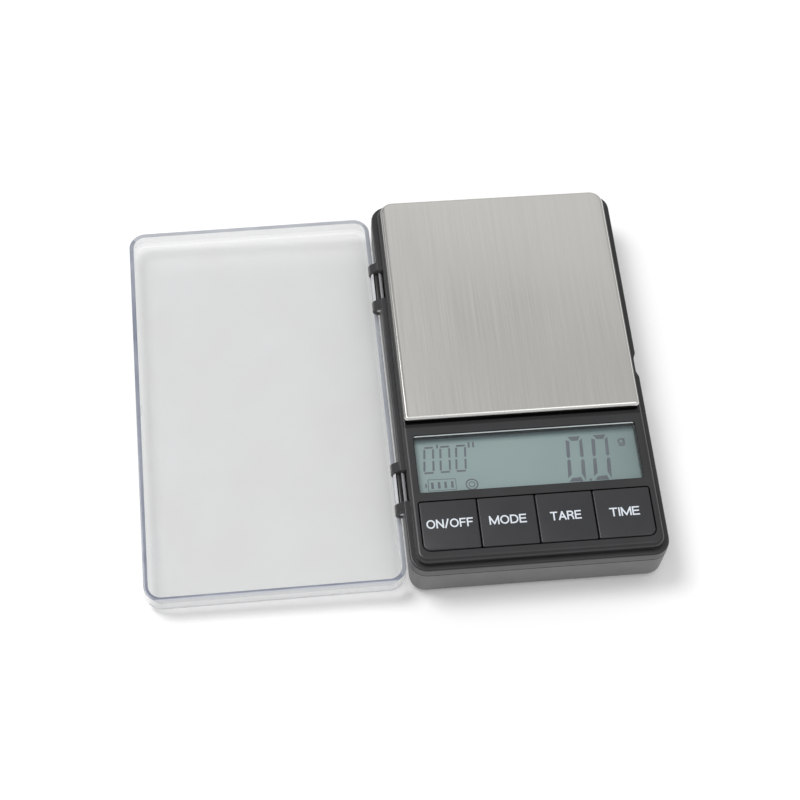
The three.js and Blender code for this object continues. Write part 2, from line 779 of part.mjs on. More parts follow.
function displayHolder() {
  const frame = slab(holderWidth, holderLength, windowCorner, boardTop, glassUnder, 0, displayMiddle);
  const lightWell = block(-zebraHalf, zebraHalf, zebraFront + zebraWidth + holderRim,
    displayMiddle + glassLength / 2 - holderRim, boardTop - overrun, glassUnder + overrun);
  const zebraSlot = block(-zebraHalf - zebraFit, zebraHalf + zebraFit, zebraFront - zebraFit,
    zebraFront + zebraWidth + zebraFit, boardTop - overrun, glassUnder + overrun);
  return cut(frame, [lightWell, zebraSlot]);
}

const zebraStrip = () => block(-zebraHalf, zebraHalf, zebraFront, zebraFront + zebraWidth,
  boardTop, glassUnder);

function circuitBoard() {
  const middle = (boardFront + boardBack) / 2;
  const board = slab(boardWidth, boardBack - boardFront, boardCorner, boardUnder, boardTop, 0, middle);
  return cut(board, boardPostPlaces.map(([x, y]) => (
    slimPost(boardScrewRadius + screwFit, boardUnder - overrun, boardTop + overrun, x, y)
  )));
}

const controllerChip = () => slab(chipWidth, chipWidth, leastRadius, boardUnder - chipHeight, boardUnder,
  -chipOffset, displayMiddle, coarseLoft);

function buzzer() {
  const can = post(buzzerRadius, boardUnder - buzzerHeight, boardUnder, buzzerOffset, displayMiddle);
  return can.subtract(slimPost(buzzerHole, boardUnder - buzzerHeight - overrun,
    boardUnder - buzzerHeight + overrun, buzzerOffset, displayMiddle));
}

function loadCell() {
  const half = beamLength / 2;
  const middleHeight = (beamTop + beamUnder) / 2;
  const front = plateMiddle - beamWidth / 2;
  const back = plateMiddle + beamWidth / 2;
  const beam = block(-half, half, front, back, beamUnder, beamTop);
  const eyes = bothSides.map((side) => barAlongY(beamEyeRadius, front - overrun, back + overrun,
    side * beamEyeX, middleHeight));
  const slot = block(-beamEyeX, beamEyeX, front - overrun, back + overrun,
    middleHeight - beamSlot / 2, middleHeight + beamSlot / 2);
  const holes = bothSides.flatMap((side) => beamScrewOffsets.map((offset) => (
    slimPost(beamScrewRadius + pilotFit, beamUnder - overrun, beamTop + overrun,
      side * beamFreeX + offset, plateMiddle)
  )));
  return cut(beam, [...eyes, slot, ...holes]);
}

const gaugeCover = (bottom) => slab(gaugeLength, gaugeWidth, bossMargin, bottom, bottom + gaugeThickness,
  0, plateMiddle);

function plateCarrier() {
  const edge = plateSheet + carrierFit;
  const tray = plateOutline([[edge, carrierUnder], [edge, plateUnder]])
    .subtract(plateOutline([
      [edge + carrierRib, carrierUnder - overrun], [edge + carrierRib, plateUnder - carrierSkin],
    ]));
  const halfX = plateWidth / 2 - edge - embed;
  const halfY = plateLength / 2 - edge - embed;
  const ribTop = plateUnder - carrierSkin + embed;
  const ribs = bothSides.flatMap((side) => [
    block(-halfX, halfX, plateMiddle + side * carrierRibPitch - carrierRib / 2,
      plateMiddle + side * carrierRibPitch + carrierRib / 2, carrierUnder, ribTop),
    block(side * carrierRibPitch - carrierRib / 2, side * carrierRibPitch + carrierRib / 2,
      plateMiddle - halfY, plateMiddle + halfY, carrierUnder, ribTop),
  ]);
  const boss = slab(carrierBossWidth, carrierBossLength, leastRadius, beamTop, plateUnder,
    beamFreeX, plateMiddle);
  const holes = beamScrewOffsets.flatMap((offset) => [
    slimPost(beamScrewHole, beamTop - overrun, plateUnder + overrun, beamFreeX + offset, plateMiddle),
    post(beamScrewHead + screwFit, plateUnder - carrierScrewSink - beamScrewHeadHeight,
      plateUnder + overrun, beamFreeX + offset, plateMiddle),
  ]);
  return cut(join([tray, ...ribs, boss]), holes);
}

function weighingPlate() {
  const skirtEnd = plateTop - plateSkirt;
  const outer = plateOutline([[0, skirtEnd], ...roundOver(0, plateTop, plateBend)]);
  return outer.subtract(plateOutline([[plateSheet, skirtEnd - overrun], [plateSheet, plateUnder]]));
}

// An AAA cell along X about its middle, positive end at +X
function batteryCell() {
  const radius = cellDiameter / 2;
  const shoulder = cellLength - cellNubLength;
  const solid = revolve([
    [0, 0], [radius - cellRound, 0], [radius, cellRound], [radius, shoulder - cellRound],
    [radius - cellRound, shoulder], [cellNubRadius, shoulder], [cellNubRadius, cellLength], [0, cellLength],
  ]);
  return solid.translate([0, 0, -cellLength / 2]).rotate([0, 90, 0]);
}

// Contact pieces about the cell's axis; the plate's face is at x = 0 and the bay lies to +X
const contactPlate = (y, width) => block(-contactThickness, 0, y - width / 2, y + width / 2,
  -contactHeight / 2, contactHeight / 2);

function contactLeaf(y) {
  const shape = new THREE.Shape();
  const crown = contactThickness;
  shape.moveTo(-contactThickness, -leafSpan);
  shape.lineTo(leafReach, -crown);
  shape.lineTo(leafReach, crown);
  shape.lineTo(-contactThickness, leafSpan);
  shape.lineTo(-contactThickness, leafSpan - 2 * contactThickness);
  shape.lineTo(leafReach - contactThickness, 0);
  shape.lineTo(-contactThickness, 2 * contactThickness - leafSpan);
  shape.closePath();
  const geometry = new THREE.ExtrudeGeometry(shape, { depth: leafWidth, bevelEnabled: false });
  geometry.translate(0, y, -leafWidth / 2);
  return solidOf(geometry);
}

function contactDome(y) {
  const geometry = new THREE.CylinderGeometry(contactBumpRadius / 2, contactBumpRadius,
    contactBump + embed, screwSides);
  geometry.rotateZ(-Math.PI / 2);
  geometry.translate((contactBump - embed) / 2, y, 0);
  return solidOf(geometry);
}

const contactTab = (y) => block(-contactThickness - bayWall - tabReach, 0, y - tabWidth / 2,
  y + tabWidth / 2, -contactThickness / 2, contactThickness / 2);

function coverKnuckle(y) {
  const half = hingeOpening / 2 - knuckleEndFit;
  const ring = barAlongY(knuckleRadius, y - half, y + half, knuckleShift, 0);
  const rimZ = -hingeDrop - coverSeatGap;
  const arm = block(knuckleShift - knuckleRadius, -hingeOutset, y - half, y + half,
    rimZ - knuckleRoot, -hingeOutset);
  const bore = barAlongY(rodRadius + knuckleFit, y - hingeOpening, y + hingeOpening, 0, 0);
  const mouth = block(-knuckleMouth / 2, knuckleMouth / 2, y - hingeOpening, y + hingeOpening,
    0, knuckleRadius + overrun);
  return cut(ring.add(arm), [bore, mouth]);
}

// The cover about the hinge axis, lying open with its rim up
function cover() {
  const rimZ = -hingeDrop - coverSeatGap;
  const middleX = -hingeOutset - bodyWidth / 2;
  const bottom = rimZ - coverDepth;
  const outer = bodyOutline([...roundUnder(0, bottom, coverRound), [0, rimZ]]);
  const inner = bodyOutline([
    ...roundUnder(coverWall, bottom + coverTop, coverInnerRound), [coverWall, rimZ + overrun],
  ]);
  const farFace = middleX - bodyWidth / 2 + coverWall;
  const latch = block(farFace - embed, farFace + catchDepth, -catchLength / 2, catchLength / 2,
    rimZ - catchInset - catchHeight, rimZ - catchInset);
  const tray = outer.subtract(inner).translate([middleX, 0, 0]);
  return join([tray, latch, ...hingePlaces.map(coverKnuckle)]);
}

function rubberFoot() {
  return revolve([
    [0, 0], [footRadius - footRecess / 2, 0], [footRadius, footRecess / 2],
    [footRadius, footProud + footRecess], [0, footProud + footRecess],
  ]);
}

// A lead or sleeve along a smooth line through points
function lead(points, radius) {
  const curve = new THREE.CatmullRomCurve3(points.map(([x, y, z]) => new THREE.Vector3(x, y, z)));
  const section = new THREE.Shape();
  section.absarc(0, 0, radius, 0, 2 * Math.PI, false);
  return solidOf(new THREE.ExtrudeGeometry(section, {
    steps: leadSteps, curveSegments: leadSides, bevelEnabled: false, extrudePath: curve,
  }));
}

const housing = new THREE.Group();
housing.position.set(bodyX, 0, 0);

function place(name, solid, look, x = 0, y = 0, z = 0) {
  const mesh = meshOf(name, solid, look);
  mesh.position.set(x, y, z);
  housing.add(mesh);
  return mesh;
}

place('lower_housing', lowerHousing(), blackPlastic);
place('upper_housing', upperHousing(), blackPlastic);
place('display_window', displayWindow(), clearPlastic);
place('display_gasket', displayGasket(), foamBlack);
place('lcd_panel', displayGlass(), glassGrey);
place('lcd_holder', displayHolder(), whitePlastic);
place('zebra_strip', zebraStrip(), rubberBlack);
place('circuit_board', circuitBoard(), boardGreen);
place('controller_chip', controllerChip(), chipBlack);
place('buzzer', buzzer(), chipBlack);

keyNames.forEach((name, k) => {
  const x = -keyBlockWidth / 2 + keyWidth / 2 + k * (keyWidth + keyGap);
  place(name, key(k === 0, k === keyNames.length - 1), keyPlastic, x, keyMiddle);
  place(`key_switch_${k + 1}`, keySwitch(), chipBlack, x, keyMiddle);
  place(`switch_plunger_${k + 1}`, plunger(), whitePlastic, x, keyMiddle);
});

place('load_cell', loadCell(), aluminium);
place('gauge_cover_top', gaugeCover(beamTop), siliconeWhite);
place('gauge_cover_bottom', gaugeCover(beamUnder - gaugeThickness), siliconeWhite);
place('plate_carrier', plateCarrier(), blackPlastic);
place('weighing_plate', weighingPlate(), brushedSteel);
beamScrewOffsets.forEach((offset, k) => {
  const pedestal = beamUnder - footProud - screwFit - beamScrewHeadHeight;
  place(`load_cell_screw_${k + 1}`, screw(beamScrewHead, beamScrewHeadHeight, beamScrewRadius,
    pedestal + beamScrewGrip), screwSteel, offset - beamFreeX, plateMiddle, footProud + screwFit);
  const seat = plateUnder - carrierScrewSink;
  const down = place(`carrier_screw_${k + 1}`, screw(beamScrewHead, beamScrewHeadHeight, beamScrewRadius,
    seat - beamScrewHeadHeight - beamTop + beamScrewGrip), screwSteel, beamFreeX + offset, plateMiddle, seat);
  down.rotation.x = Math.PI;
});
place('overload_stop_screw', cut(slimPost(stopScrewRadius, footProud + gripDepth, beamUnder - panTravel, 0, 0),
  [block(-stopScrewRadius, stopScrewRadius, -driveSlot / 2, driveSlot / 2, 0,
  footProud + gripDepth + driveDepth)]), screwSteel, beamFreeX, plateMiddle);

const cellY = (side) => bayMiddle + side * cellPitch / 2;
const cellShift = (leafReach - contactBump) / 2;
place('battery_cell_1', batteryCell(), cellWrap, cellShift, cellY(-1), cellHeight);
place('battery_cell_2', batteryCell(), cellWrap, -cellShift, cellY(1), cellHeight).rotation.z = Math.PI;
const contactFace = bayHalf - contactThickness;
place('contact_bridge', join([
  contactPlate(0, cellPitch + contactWidth), contactLeaf(-cellPitch / 2), contactDome(cellPitch / 2),
]), contactNickel, -contactFace, bayMiddle, cellHeight);
place('contact_positive', join([contactPlate(0, contactWidth), contactDome(0), contactTab(0)]),
  contactNickel, contactFace, cellY(-1), cellHeight).rotation.z = Math.PI;
place('contact_negative', join([contactPlate(0, contactWidth), contactLeaf(0), contactTab(0)]),
  contactNickel, contactFace, cellY(1), cellHeight).rotation.z = Math.PI;
place('battery_door', batteryDoor(), blackPlastic);

footPlaces.forEach(([x, y], k) => place(`foot_${k + 1}`, rubberFoot(), rubberBlack, x, y));
caseScrewPlaces.forEach(([x, y], k) => {
  const seat = footProud + caseScrewSink;
  place(`housing_screw_${k + 1}`, screw(caseScrewHead, caseScrewHeadHeight, caseScrewRadius,
    caseJoint - seat - caseScrewHeadHeight + caseScrewGrip), screwSteel, x, y, seat);
});
boardPostPlaces.forEach(([x, y], k) => {
  place(`board_screw_${k + 1}`, screw(boardScrewHead, boardScrewHeadHeight, boardScrewRadius,
    boardThickness + boardScrewGrip), screwSteel, x, y, boardUnder - boardScrewHeadHeight);
});

const rodHalf = hingeOpening / 2 + earThickness - rodInset;
['hinge_rod_front', 'hinge_rod_rear'].forEach((name, k) => {
  place(name, barAlongY(rodRadius, -rodHalf, rodHalf, 0, 0), blackPlastic, hingeX, hingePlaces[k], hingeHeight);
});

// Leads: from the beam to the board, and from the two end contacts to the board
const sleeveZ = boardTop + sleeveRadius + leadLift;
const sleeveX = -chipOffset;
const beamFront = plateMiddle - beamWidth / 2;
place('load_cell_lead', lead([
  [sleeveX, beamFront - leadLift, sleeveZ],
  [sleeveX, beamFront - leadBow, sleeveZ],
  [sleeveX - leadBow, (beamFront + boardBack) / 2, sleeveZ - leadSag],
  [sleeveX, boardBack + leadBow, sleeveZ],
  [sleeveX, boardBack - leadSolder, sleeveZ],
], sleeveRadius), siliconeWhite);
const tabX = bayHalf + bayWall + leadRadius + leadLift;
const laneX = Math.max(tabX, beamLength / 2 + leadRadius + leadLift);
const leadZ = boardTop + leadRadius + leadLift;
const leadStart = tabWidth / 2 + leadRadius / 2 + leadLift;
const batteryLead = (y, lift, sweepX, endX) => lead([
  [tabX, y - leadStart, cellHeight],
  [tabX, y - leadStart - leadBow, cellHeight + lift / 2],
  [laneX, bayFront - bayWall, cellHeight + lift],
  [laneX, beamFront, cellHeight + lift],
  [sweepX, beamFront - leadBow * 3, (cellHeight + lift + leadZ) / 2],
  [endX, boardBack + leadBow * 2, leadZ],
  [endX, boardBack + leadBow, leadZ],
  [endX, boardBack - leadSolder, leadZ],
], leadRadius);
const solderX = boardWidth / 2 - boardPostInset - solderInset;
const sweepX = laneX - leadBow * 2;
place('battery_lead_positive', batteryLead(cellY(-1), 0, sweepX, solderX - solderPitch), leadRed);
place('battery_lead_negative', batteryLead(cellY(1), leadRise, laneX, solderX), leadBlack);

const coverGroup = new THREE.Group();
coverGroup.position.set(0, 0, hingeHeight);
coverGroup.rotation.y = -coverRestTilt * degree;
coverGroup.add(meshOf('lid', cover(), clearPlastic));

const scale = new THREE.Group();
scale.add(housing, coverGroup);

export default scale;
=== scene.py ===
import json
import math

import bmesh
import bpy
from mathutils import Matrix, Vector

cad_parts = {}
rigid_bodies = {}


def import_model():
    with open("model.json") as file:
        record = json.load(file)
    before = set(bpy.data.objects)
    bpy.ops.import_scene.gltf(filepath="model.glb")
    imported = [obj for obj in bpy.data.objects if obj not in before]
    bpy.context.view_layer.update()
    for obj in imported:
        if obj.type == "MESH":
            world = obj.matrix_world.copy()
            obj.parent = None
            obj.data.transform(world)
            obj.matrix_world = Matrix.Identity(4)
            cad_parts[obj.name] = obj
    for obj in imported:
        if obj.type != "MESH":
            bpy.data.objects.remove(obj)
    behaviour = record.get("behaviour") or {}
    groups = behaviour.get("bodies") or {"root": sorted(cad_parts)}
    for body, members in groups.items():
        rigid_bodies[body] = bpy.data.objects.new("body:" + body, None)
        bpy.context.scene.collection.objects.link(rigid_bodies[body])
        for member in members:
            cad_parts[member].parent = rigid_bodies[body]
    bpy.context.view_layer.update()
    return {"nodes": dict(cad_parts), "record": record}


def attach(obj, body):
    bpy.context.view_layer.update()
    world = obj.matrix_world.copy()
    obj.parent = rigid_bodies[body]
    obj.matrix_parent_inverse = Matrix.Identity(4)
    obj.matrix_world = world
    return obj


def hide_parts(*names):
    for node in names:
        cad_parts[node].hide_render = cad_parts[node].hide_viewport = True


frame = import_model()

mm = 0.001
near = 0.02 * mm  # places closer than this count as one
overlap = 0.3  # how far joined solids run into each other, in millimetres
clearance = 1  # how far a cutting solid stands out, in millimetres
print("frame loaded")

# Camera, lamps and world

cameraSetup = {
    "place": (-0.050197, -0.304324, 0.539461),
    "right": (0.99400814, -0.10016097, 0.04376765),
    "up": (0.065219, 0.86479606, 0.49786973),
    "lens": 90.348,
    "sensor": 36,
}
lightSetup = {
    "sky": 0.58,
    "lamps": (
        {"place": (-1.1, 0.66, 2.3), "size": 1.05, "power": 33},
        {"place": (0.3, 1.42, 1.34), "size": 0.9, "power": 0.6},
        {"place": (0.6, -0.2, 2.1), "size": 0.9, "power": 3},
    ),
    "floorSize": 6,
    "floorLift": 0.12,
    "floorColour": (0.93, 0.93, 0.93, 1),
}


def setUpCamera(setup):
    right = Vector(setup["right"]).normalized()
    up = Vector(setup["up"])
    up = (up - right * up.dot(right)).normalized()
    turned = Matrix((right, up, right.cross(up))).transposed().to_4x4()
    bpy.ops.object.camera_add()
    camera = bpy.context.object
    camera.data.lens = setup["lens"]
    camera.data.sensor_width = setup["sensor"]
    camera.matrix_world = Matrix.Translation(setup["place"]) @ turned
    bpy.context.scene.camera = camera


def setUpLight(setup):
    world = bpy.data.worlds.new("studio")
    world.use_nodes = True
    background = world.node_tree.nodes["Background"]
    background.inputs["Color"].default_value = (1, 1, 1, 1)
    background.inputs["Strength"].default_value = setup["sky"]
    bpy.context.scene.world = world
    for one in setup["lamps"]:
        bpy.ops.object.light_add(type="AREA", location=one["place"])
        lamp = bpy.context.object
        lamp.data.size = one["size"]
        lamp.data.energy = one["power"]
        lamp.rotation_euler = (-Vector(one["place"])).to_track_quat("-Z", "Y").to_euler()


bpy.context.scene.view_settings.view_transform = "Standard"
setUpCamera(cameraSetup)
setUpLight(lightSetup)
print("camera and light set")

# Node writing for the materials


class Wire:
    def __init__(self, recipe, socket):
        self.recipe = recipe
        self.socket = socket

    def maths(self, operation, first, second):
        return self.recipe.node("ShaderNodeMath", {"operation": operation}, {0: first, 1: second})

    def __add__(self, other):
        return self.maths("ADD", self, other)

    def __radd__(self, other):
        return self.maths("ADD", other, self)

    def __sub__(self, other):
        return self.maths("SUBTRACT", self, other)

    def __rsub__(self, other):
        return self.maths("SUBTRACT", other, self)

    def __mul__(self, other):
        return self.maths("MULTIPLY", self, other)

    def __rmul__(self, other):
        return self.maths("MULTIPLY", other, self)


class Recipe:
    def __init__(self, name):
        self.material = bpy.data.materials.new(name)
        self.material.use_nodes = True
        self.tree = self.material.node_tree
        self.tree.nodes.clear()

    def node(self, kind, settings=None, sockets=None, output=0):
        made = self.tree.nodes.new(kind)
        for key, value in (settings or {}).items():
            setattr(made, key, value)
        for key, value in (sockets or {}).items():
            if isinstance(value, Wire):
                self.tree.links.new(value.socket, made.inputs[key])
            else:
                made.inputs[key].default_value = value
        return Wire(self, made.outputs[output]) if made.outputs else None

    def finish(self, shader):
        self.node("ShaderNodeOutputMaterial", {}, {"Surface": shader})
        return self.material

    def place(self):
        return self.node("ShaderNodeTexCoord", output="Object")

    def axis(self, letter):
        return self.node("ShaderNodeSeparateXYZ", {}, {0: self.place()}, letter)

    def noise(self, size, detail=2, stretch=(1, 1, 1), roughness=0.5):
        scaled = self.node("ShaderNodeMapping", {}, {
            "Vector": self.place(), "Scale": [s / (size * mm) for s in stretch],
        })
        return self.node("ShaderNodeTexNoise", {}, {
            "Vector": scaled, "Scale": 1, "Detail": detail, "Roughness": roughness,
        })

    def spread(self, value, start, end, low, high):
        return self.node("ShaderNodeMapRange", {"clamp": True}, {
            "Value": value, "From Min": start, "From Max": end, "To Min": low, "To Max": high,
        })

    def between(self, value, low, high):  # noise seldom leaves 0.3 to 0.7
        return self.spread(value, 0.3, 0.7, low, high)

    def ramp(self, letter, ends):  # 0 to 1 along an axis, from one place in millimetres to another
        return self.spread(self.axis(letter), ends[0] * mm, ends[1] * mm, 0, 1)

    def rays(self, *kinds):  # 1 for a ray of one of these kinds
        return sum(self.node("ShaderNodeLightPath", output="Is " + kind + " Ray") for kind in kinds)

    def mixColour(self, factor, first, second):
        return self.node("ShaderNodeMix", {"data_type": "RGBA"}, {0: factor, 6: first, 7: second}, 2)

    def twoTone(self, value, look):
        return self.mixColour(self.between(value, 0, 1), look["dark"], look["light"])

    def fade(self, colour, letter, ends, other):
        return self.mixColour(self.ramp(letter, ends), colour, other)

    def bump(self, height, depth):
        return self.node("ShaderNodeBump", {}, {"Height": height, "Distance": depth * mm, "Strength": 1})

    def surface(self, **sockets):
        named = {key.replace("_", " "): value for key, value in sockets.items()}
        return self.node("ShaderNodeBsdfPrincipled", {}, named)


# Materials

plasticLooks = {
    "blackPlastic": {"dark": (0.019, 0.0193, 0.0205, 1), "light": (0.024, 0.0245, 0.026, 1),
                     "rough": (0.3, 0.36), "grain": 0.16, "depth": 0.004},
    "deckPlastic": {"dark": (0.019, 0.0193, 0.0205, 1), "light": (0.024, 0.0245, 0.026, 1),
                    "rough": (0.3, 0.36), "grain": 0.16, "depth": 0.004,
                    # a dark strip on the deck just in front of the plate: painted shade under the plate's front
                    # edge, and a glossier finish there
                    "gloss": (0.004, 0.004, 0.0045, 1), "glossRough": 0.06,
                    "glossY": ((-18.6, -17.9), (-15.9, -16.3)), "glossX": ((2.6, 3.1), (74.3, 73.8))},
    "keyPlastic": {"dark": (0.023, 0.0236, 0.026, 1), "light": (0.028, 0.029, 0.032, 1),
                   "rough": (0.3, 0.37), "grain": 0.13, "depth": 0.005},
    "whitePlastic": {"dark": (0.72, 0.72, 0.69, 1), "light": (0.8, 0.8, 0.78, 1),
                     "rough": (0.4, 0.5), "grain": 0.3, "depth": 0.01},
    # the outer side walls are a lighter copy of the black plastic: painted reflection of the white floor
    "upperSide": {"dark": (0.082, 0.0825, 0.084, 1), "light": (0.098, 0.0985, 0.1, 1),
                  "rough": (0.38, 0.46), "grain": 0.2, "depth": 0.006},
    "lowerSide": {"dark": (0.135, 0.1355, 0.136, 1), "light": (0.155, 0.1555, 0.156, 1),
                  "rough": (0.38, 0.46), "grain": 0.2, "depth": 0.006},
    # near-white pin ends: a painted glint
    "pinEnd": {"dark": (0.85, 0.85, 0.85, 1), "light": (0.95, 0.95, 0.95, 1),
               "rough": (0.2, 0.3), "grain": 0.4, "depth": 0.01},
    "chipPlastic": {"dark": (0.012, 0.012, 0.013, 1), "light": (0.02, 0.02, 0.021, 1),
                    "rough": (0.45, 0.6), "grain": 0.2, "depth": 0.015},
    "footRubber": {"dark": (0.018, 0.018, 0.018, 1), "light": (0.03, 0.03, 0.03, 1),
                   "rough": (0.75, 0.9), "grain": 0.35, "depth": 0.03},
    "foam": {"dark": (0.012, 0.012, 0.012, 1), "light": (0.03, 0.03, 0.03, 1),
             "rough": (0.9, 1), "grain": 0.3, "depth": 0.08},
    "siliconeWhite": {"dark": (0.74, 0.74, 0.71, 1), "light": (0.82, 0.82, 0.8, 1),
                      "rough": (0.5, 0.62), "grain": 0.8, "depth": 0.03},
    "boardGreen": {"dark": (0.012, 0.075, 0.03, 1), "light": (0.02, 0.115, 0.05, 1),
                   "rough": (0.3, 0.42), "grain": 0.5, "depth": 0.01},
    "cellWrap": {"dark": (0.045, 0.12, 0.27, 1), "light": (0.06, 0.15, 0.32, 1),
                 "rough": (0.22, 0.32), "grain": 2.5, "depth": 0.02},
    "leadRed": {"dark": (0.35, 0.02, 0.015, 1), "light": (0.45, 0.03, 0.02, 1),
                "rough": (0.4, 0.5), "grain": 0.5, "depth": 0.01},
    "leadBlack": {"dark": (0.015, 0.015, 0.015, 1), "light": (0.024, 0.024, 0.024, 1),
                  "rough": (0.4, 0.5), "grain": 0.5, "depth": 0.01},
    "hingeRod": {"dark": (0.014, 0.014, 0.015, 1), "light": (0.03, 0.03, 0.031, 1),
                 "rough": (0.3, 0.42), "grain": 0.4, "depth": 0.01},
}
metalLooks = {
    "screwSteel": {"dark": (0.4, 0.39, 0.37, 1), "light": (0.56, 0.55, 0.53, 1), "rough": (0.25, 0.42),
                   "stretch": (1, 1, 1), "grain": 0.4, "depth": 0.01},
    "aluminium": {"dark": (0.56, 0.57, 0.58, 1), "light": (0.68, 0.69, 0.7, 1), "rough": (0.3, 0.45),
                  "stretch": (0.03, 1, 1), "grain": 0.2, "depth": 0.01},
    "contactNickel": {"dark": (0.58, 0.56, 0.5, 1), "light": (0.7, 0.68, 0.62, 1), "rough": (0.2, 0.34),
                      "stretch": (1, 1, 0.1), "grain": 0.3, "depth": 0.005},
}
plasticNoise = {"cloud": 9, "smear": 26, "grainRough": 0.08}
metalNoise = {"cloud": 6, "streakShare": 0.6}


def plastic(name):
    look = plasticLooks[name]
    recipe = Recipe(name)
    fine = recipe.noise(look["grain"])
    smear = recipe.noise(plasticNoise["smear"], 4)
    colour = recipe.twoTone(recipe.noise(plasticNoise["cloud"], 3), look)
    rough = recipe.between(smear, *look["rough"]) + (fine - 0.5) * plasticNoise["grainRough"]
    # darker, glossier strip: its dark colour is painted shade, its lower roughness a glossier finish
    if "gloss" in look:
        strip = 1
        for letter in "XY":
            for ends in look["gloss" + letter]:
                strip = recipe.ramp(letter, ends) * strip
        colour = recipe.mixColour(strip, colour, look["gloss"])
        rough = rough + strip * (look["glossRough"] - rough)
    return recipe.finish(recipe.surface(
        Base_Color=colour, Roughness=rough, Normal=recipe.bump(fine, look["depth"])))


def metal(name):
    look = metalLooks[name]
    recipe = Recipe(name)
    streak = recipe.noise(look["grain"], 3, look["stretch"])
    cloud = recipe.noise(metalNoise["cloud"], 3)
    share = metalNoise["streakShare"]
    return recipe.finish(recipe.surface(
        Base_Color=recipe.twoTone(streak * share + cloud * (1 - share), look),
        Metallic=1,
        Roughness=recipe.between(cloud, *look["rough"]),
        Normal=recipe.bump(streak, look["depth"]),
    ))


plateLook = {
    "dark": (0.62, 0.612, 0.585, 1), "light": (0.71, 0.702, 0.67, 1), "rough": (0.2, 0.27), "depth": 0.001,
    "streak": 0.22, "streakStretch": (1, 0.006, 1), "streakRough": 0.6, "streakShare": 0.55,
    "broad": 1.6, "broadStretch": (1, 0.01, 1), "broadShare": 0.25, "cloud": 30, "cloudShare": 0.2,
    # the plate's left edge is darkened: painted shade, damping the lamp's streak there
    "side": (0.42, 0.415, 0.4, 1), "paintedSideShadeX": (4.5, 4.1),
    # a lighter band along the front bend: a painted highlight
    "paintedBendHighlight": (0.86, 0.855, 0.83, 1), "paintedBendHighlightY": (-15.5, -15.95),
    # the skirt below the bend is painted near black with brown blotches: a painted reflection of the dark deck
    "skirtReflectionDark": (0.012, 0.01, 0.008, 1), "skirtReflectionLight": (0.15, 0.12, 0.09, 1), "skirtReflectionZ": (20.35, 20),
    "reflectionMottle": 0.7, "reflectionMottleLow": -0.3,
}


def brushedPlate():
    look = plateLook
    recipe = Recipe("brushedPlate")
    fine = recipe.noise(look["streak"], 4, look["streakStretch"], look["streakRough"])
    broad = recipe.noise(look["broad"], 3, look["broadStretch"])
    cloud = recipe.noise(look["cloud"], 3)
    sheet = recipe.twoTone(
        fine * look["streakShare"] + broad * look["broadShare"] + cloud * look["cloudShare"], look)
    # painted shade along the left edge
    sheet = recipe.fade(sheet, "X", look["paintedSideShadeX"], look["side"])
    # painted highlight along the front bend
    sheet = recipe.fade(sheet, "Y", look["paintedBendHighlightY"], look["paintedBendHighlight"])
    # painted reflection of the dark deck on the skirt, in blotches
    reflectionBlotch = recipe.between(recipe.noise(look["reflectionMottle"], 4), look["reflectionMottleLow"], 1)
    skirtReflection = recipe.mixColour(reflectionBlotch, look["skirtReflectionDark"], look["skirtReflectionLight"])
    return recipe.finish(recipe.surface(
        Base_Color=recipe.fade(sheet, "Z", look["skirtReflectionZ"], skirtReflection),
        Metallic=1,
        Roughness=recipe.between(fine, *look["rough"]),
        Normal=recipe.bump(fine, look["depth"]),
    ))


# The one clear plastic gets a different colour on each region of the cover: painted reflection and shade standing
# in for light bent through the clear walls, with dark blue-grey rims, lighter rims at the right, at the rear and
# along the outer front edge, paler front wall and sides, and a darker front foot.
clearLooks = {
    # the floor lets more of the table through near the rear and left walls, so it shows brighter there: painted
    # light
    "clearFloor": {"colour": (0.62, 0.625, 0.62, 1), "alpha": (0.22, 0.6), "rough": 0.06,
                   "borderLight": 0.32, "borderLightY": (52, 62), "borderLightX": (-69, -75)},
    "clearWall": {"colour": (0.7, 0.71, 0.72, 1), "alpha": (0.12, 0.4), "rough": 0.06},
    "clearSide": {"colour": (0.8, 0.81, 0.82, 1), "alpha": (0.1, 0.4), "rough": 0.06},
    "clearBend": {"colour": (0.7, 0.705, 0.71, 1), "alpha": (0.05, 0.3), "rough": 0.06},
    "clearFront": {"colour": (0.9, 0.915, 0.93, 1), "alpha": (0.05, 0.35), "rough": 0.06, "shade": 0.95},
    "clearFoot": {"colour": (0.6, 0.61, 0.63, 1), "alpha": (0.3, 0.8), "rough": 0.1, "shade": 0.95},
    "clearRim": {"colour": (0.15, 0.17, 0.235, 1), "alpha": (0.9, 0.95), "rough": 0.12},
    "clearRimFront": {"colour": (0.15, 0.17, 0.235, 1), "alpha": (0.9, 0.95), "rough": 0.12, "shade": 0.98,
                      "outer": (0.55, 0.57, 0.62, 1), "outerY": (-63.15, -63.5)},
    "clearRimRight": {"colour": (0.27, 0.29, 0.33, 1), "alpha": (0.85, 0.95), "rough": 0.12},
    "clearRear": {"colour": (0.36, 0.38, 0.42, 1), "alpha": (0.85, 0.95), "rough": 0.12},
    "clearKnuckle": {"colour": (0.6, 0.61, 0.63, 1), "alpha": (0.8, 0.95), "rough": 0.12},
    "clearWindow": {"colour": (0.3, 0.34, 0.34, 1), "alpha": (0.03, 0.25), "rough": 0.05},
    # a pale, nearly opaque band on the rear bevel: a painted highlight
    "clearEdge": {"colour": (0.52, 0.58, 0.57, 1), "alpha": (0.9, 0.97), "rough": 0.5},
}
clearRipple = {"size": 14, "depth": 0.01, "roughMore": 0.04, "tint": (0.8, 0.85, 0.9, 1), "tintShare": 0.2}


